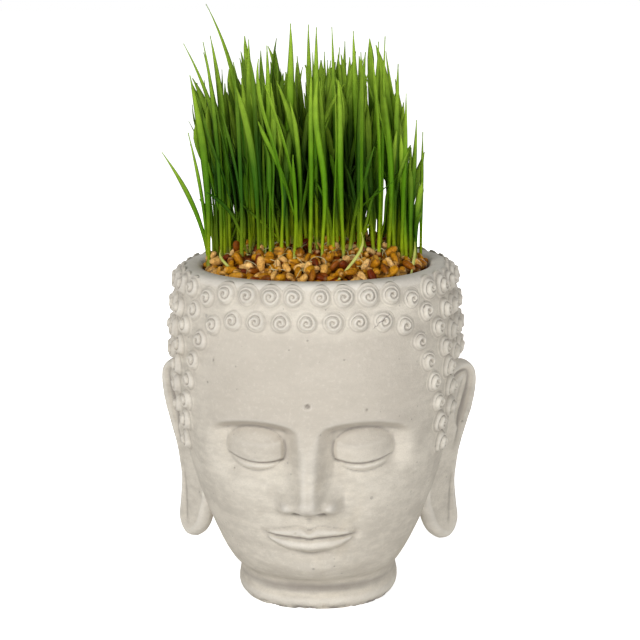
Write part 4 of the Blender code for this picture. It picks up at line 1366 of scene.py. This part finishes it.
def side_fall(x):
    """How much lower than the rest the tips are towards the two sides of the stand."""
    right = 55 * MM * float(smoothstep(34 * MM, 60 * MM, x))
    left = 8 * MM * float(smoothstep(-44 * MM, -62 * MM, x))
    return right + left


def grow_shoot(x, y, look, draw, shoots, second):
    """Grows a shoot, unless the thinning takes it, and a second leaf beside some."""
    out_x, out_y = x / STAND_HALF_WIDTH, (y - AXIS_Y - STAND_SET_BACK) / STAND_HALF_DEPTH
    if draw.random() < look.right_thinning * float(smoothstep(0.35, 0.75, out_x)):
        return
    share = blade_shares(SHOOT_RINGS)
    # How far inside the stand a shoot grows, for the painted shade of its blade.
    inner = 1 - float(smoothstep(0.62, 0.96, math.hypot(out_x, out_y)))
    short = draw.random() < look.short_share
    root = np.array([x, y, bed_top(x, y) - ROOT_DEPTH])
    lean = draw.gauss(0, 12.0 if short else 6.0) * MM + (LEFT_SPLAY if x < 0 else RIGHT_SPLAY) * out_x
    tip_x = min(max(x + lean, TIP_LEFT), TIP_RIGHT)
    clump = CLUMP_SPREAD * noise.noise(Vector((x, y, 0.02)) * 75)
    full = min(draw.gauss(look.stand_height / MM + clump, TIP_SPREAD), HIGHEST_TIP) * MM
    head = draw.uniform(0.35, 0.75) if short else 1.0
    height = (full - side_fall(tip_x) - root[2]) * head
    tip = np.array([tip_x, y + draw.gauss(0, 6.0) * MM, root[2] + height])
    sway = (np.array([draw.gauss(0, 2.4), draw.gauss(0, 2.0)]) * MM, draw.uniform(1.0, 2.2))
    path = grown_path(root, tip, draw.uniform(1.0, 2.6), sway, share)
    turn = draw.gauss(0, 0.9)
    half_width = look.half_width * (draw.uniform(0.42, 0.62) if short else draw.uniform(0.68, 1.14))
    point = draw.uniform(0.07, 0.24)
    stem = min(half_width, draw.uniform(0.85, 1.1) * MM)
    widths = blade_widths(half_width, share, stem, draw.uniform(0.6, 0.8), point)
    # Shoots further right get a lighter, yellower tone: painted light, as if the right of the stand were lit
    # more brightly.
    tone = min(max(draw.random() + 0.36 * out_x, 0.0), 1.0)
    fold = draw.uniform(0.15, 0.6)
    grow_blade(shoots, path, share, widths, 0.15, turn, draw.gauss(0, 0.6), fold, tone, inner, (0.0, head))
    if draw.random() < look.second_leaf_share:
        start = draw.uniform(0.16, 0.36)
        from_point = np.array([np.interp(start, share, path[:, axis]) for axis in range(3)])
        angle = draw.uniform(0, 2 * math.pi)
        throw = draw.uniform(3, 11) * MM
        rise = draw.uniform(0.55, 0.95)
        leaf_x = min(max(tip[0] + throw * math.cos(angle), TIP_LEFT), TIP_RIGHT)
        leaf_tip = (leaf_x, tip[1] + throw * math.sin(angle), root[2] + height * rise)
        leaf_share = blade_shares(LEAF_RINGS)
        leaf_path = grown_path(from_point, leaf_tip, draw.uniform(0.9, 1.6), sway, leaf_share)
        leaf_width = half_width * draw.uniform(0.55, 0.85)
        widths = blade_widths(leaf_width, leaf_share, 0.5 * MM, 0.5, point * 1.4)
        twist, fold = draw.gauss(0, 0.8), draw.uniform(0.2, 0.5)
        turn += draw.uniform(0.3, 1.2)
        ends = (start * head, rise * head)
        grow_blade(second, leaf_path, leaf_share, widths, 0.04, turn, twist, fold, tone, inner, ends)


def grow_lone_blade(root, tip, height, bend, width, look, draw, shoots):
    """Grows one of the blades that stand out of the rest."""
    x, y, tip_x, tip_y, height = (value * MM for value in (*root, *tip, height))
    root = np.array([x, y + AXIS_Y, bed_top(x, y + AXIS_Y) - ROOT_DEPTH])
    share = blade_shares(SHOOT_RINGS)
    sway = (np.array([draw.gauss(0, 0.7), 0.5]) * MM, 1.6)
    path = grown_path(root, (tip_x, tip_y, height), bend, sway, share)
    widths = blade_widths(look.half_width * width, share, min(0.95, 1.7 * width) * MM, 0.65, 0.30)
    turn, twist, tone = draw.uniform(-0.5, 0.5), draw.gauss(0, 0.4), draw.uniform(0.25, 1)
    grow_blade(shoots, path, share, widths, 0.15, turn, twist, 0.35, tone)


def grow_sprout(root, tip, height, draw, second):
    """Grows one of the young sprouts, on a path that bulges sideways."""
    x, y, tip_x, tip_y, height = (value * MM for value in (*root, *tip, height))
    root = np.array([x, y + AXIS_Y, bed_top(x, y + AXIS_Y) - SPROUT_DEPTH])
    share = blade_shares(LEAF_RINGS)
    bulge = np.array([tip_x - x, tip_y - y]) * 0.5
    path = grown_path(root, (tip_x, tip_y + AXIS_Y, height), 0.8, (bulge, 1.0), share)
    widths = blade_widths(0.85 * MM, share, 0.62 * MM, 0.5, 0.35)
    grow_blade(second, path, share, widths, 0.5, 0.0, 0.3, 0.3, draw.random(), ends=(0.0, 0.05))


class WHEATPOT_OT_grass(bpy.types.Operator):
    """Grow the wheatgrass: a shoot from each spot of the bed, and second leaves beside some of them"""

    bl_idname = "wheatpot.grass"
    bl_label = "Wheatgrass"

    def execute(self, context):
        look = context.scene.wheatpot_grass
        draw = random.Random(GRASS_SEED)
        shoots, second = Collected(), Collected()
        spots = spread_spots(look.shoots, STAND_HALF_WIDTH, SHOOT_GAP, draw, STAND_HALF_DEPTH, STAND_SET_BACK)
        for x, y in spots:
            grow_shoot(x, y, look, draw, shoots, second)
        for lone_blade in LONE_BLADES:
            grow_lone_blade(*lone_blade, look, draw, shoots)
        for sprout in SPROUTS:
            grow_sprout(*sprout, draw, second)
        material = blade_material(look)
        shoots.piece("grass_shoots", material, "grass", "wheatgrass")
        second.piece("second_leaves", material, "grass", "wheatgrass")
        return {"FINISHED"}


def floor_material(look):
    """A pale matt floor that only the camera sees glow, more so further out, to meet the white behind it."""
    material, nodes, shader = new_material("pale_floor", 0.9, specular=0.0)
    shader.inputs["Base Color"].default_value = rgb(look.floor_colour)
    shader.inputs["Emission Color"].default_value = (1.0, 1.0, 1.0, 1.0)
    seen = nodes.add("ShaderNodeLightPath").outputs["Is Camera Ray"]
    glow = nodes.band(nodes.vector("LENGTH", nodes.place()), 0.10, 0.45, look.floor_glow, 1.0)
    nodes.feed(shader.inputs["Emission Strength"], nodes.times(seen, glow))
    return material


def studio_world(look):
    """White to the camera, and a soft light from all round for everything else."""
    world = bpy.data.worlds.new("studio")
    world.use_nodes = True
    sky = world.node_tree.nodes["Background"]
    sky.inputs["Color"].default_value = (1.0, 1.0, 1.0, 1.0)
    nodes = Nodes(world.node_tree)
    seen = nodes.add("ShaderNodeLightPath").outputs["Is Camera Ray"]
    nodes.feed(sky.inputs["Strength"], nodes.band(seen, 0.0, 1.0, look.ambient, 1.0))
    return world


def photo_camera(look):
    """A camera that stands where the photograph's did."""
    data = bpy.data.cameras.new("camera")
    data.sensor_width = SENSOR_WIDTH
    data.lens = look.focal_pixels * SENSOR_WIDTH / PICTURE_PIXELS
    data.shift_x = look.camera_shift
    camera = new_object("camera", data)
    turn = look.camera_turn
    camera.location = (
        look.camera_distance * math.sin(turn),
        AXIS_Y - look.camera_distance * math.cos(turn),
        look.camera_height,
    )
    aim = (
        Matrix.Rotation(turn, 3, "Z")
        @ Matrix.Rotation(math.pi / 2 - look.camera_pitch, 3, "X")
        @ Matrix.Rotation(look.camera_roll, 3, "Z")
    )
    camera.rotation_euler = aim.to_euler()
    return camera


class WHEATPOT_OT_stage(bpy.types.Operator):
    """Set the pale floor, the soft studio light and the camera"""

    bl_idname = "wheatpot.stage"
    bl_label = "Stage"

    def execute(self, context):
        scene = context.scene
        look = scene.wheatpot_stage
        corners = [(-1, -1, 0), (1, -1, 0), (1, 1, 0), (-1, 1, 0)]
        floor_mesh = bpy.data.meshes.new("floor")
        floor_mesh.from_pydata([Vector(corner) * FLOOR_HALF_WIDTH for corner in corners], [], [(0, 1, 2, 3)])
        floor_mesh.materials.append(floor_material(look))
        floor = new_object("floor", floor_mesh)
        scene.world = studio_world(look)
        for name, place, size, power in LIGHTS:
            light = bpy.data.lights.new(name, "AREA")
            light.size = size
            light.energy = power
            lamp = new_object(name, light)
            lamp.location = place
            lamp.rotation_euler = (Vector(LIGHT_TARGET) - lamp.location).to_track_quat("-Z", "Y").to_euler()
        scene.camera = photo_camera(look)
        scene.view_settings.view_transform = "Standard"
        return {"FINISHED"}


class WHEATPOT_PT_panel(bpy.types.Panel):
    """Lists the pieces of the planter"""

    bl_label = "Wheatgrass Planter"
    bl_idname = "WHEATPOT_PT_panel"
    bl_space_type = "VIEW_3D"
    bl_region_type = "UI"
    bl_category = "Wheatgrass"

    def draw(self, context):
        for operator in OPERATORS:
            self.layout.operator(operator.bl_idname)
        for name in LOOKS:
            look = getattr(context.scene, name)
            box = self.layout.box()
            for prop in look.bl_rna.properties:
                if prop.identifier not in ("rna_type", "name"):
                    box.prop(look, prop.identifier)


OPERATORS = (
    WHEATPOT_OT_casting,
    WHEATPOT_OT_ears,
    WHEATPOT_OT_curls,
    WHEATPOT_OT_bed,
    WHEATPOT_OT_grains,
    WHEATPOT_OT_rootlets,
    WHEATPOT_OT_grass,
    WHEATPOT_OT_stage,
)
LOOKS = {
    "wheatpot_planter": PlanterLook,
    "wheatpot_bed": BedLook,
    "wheatpot_grass": GrassLook,
    "wheatpot_stage": StageLook,
}
CLASSES = (*LOOKS.values(), *OPERATORS, WHEATPOT_PT_panel)


def register():
    for cls in CLASSES:
        bpy.utils.register_class(cls)
    for name, look in LOOKS.items():
        setattr(bpy.types.Scene, name, PointerProperty(type=look))


def unregister():
    for name in LOOKS:
        delattr(bpy.types.Scene, name)
    for cls in reversed(CLASSES):
        bpy.utils.unregister_class(cls)


def main():
    register()
    bpy.ops.wheatpot.casting()
    bpy.ops.wheatpot.ears()
    bpy.ops.wheatpot.curls()
    bpy.ops.wheatpot.bed()
    bpy.ops.wheatpot.grains()
    bpy.ops.wheatpot.rootlets()
    bpy.ops.wheatpot.grass()
    bpy.ops.wheatpot.stage()


if __name__ == "__main__":
    main()
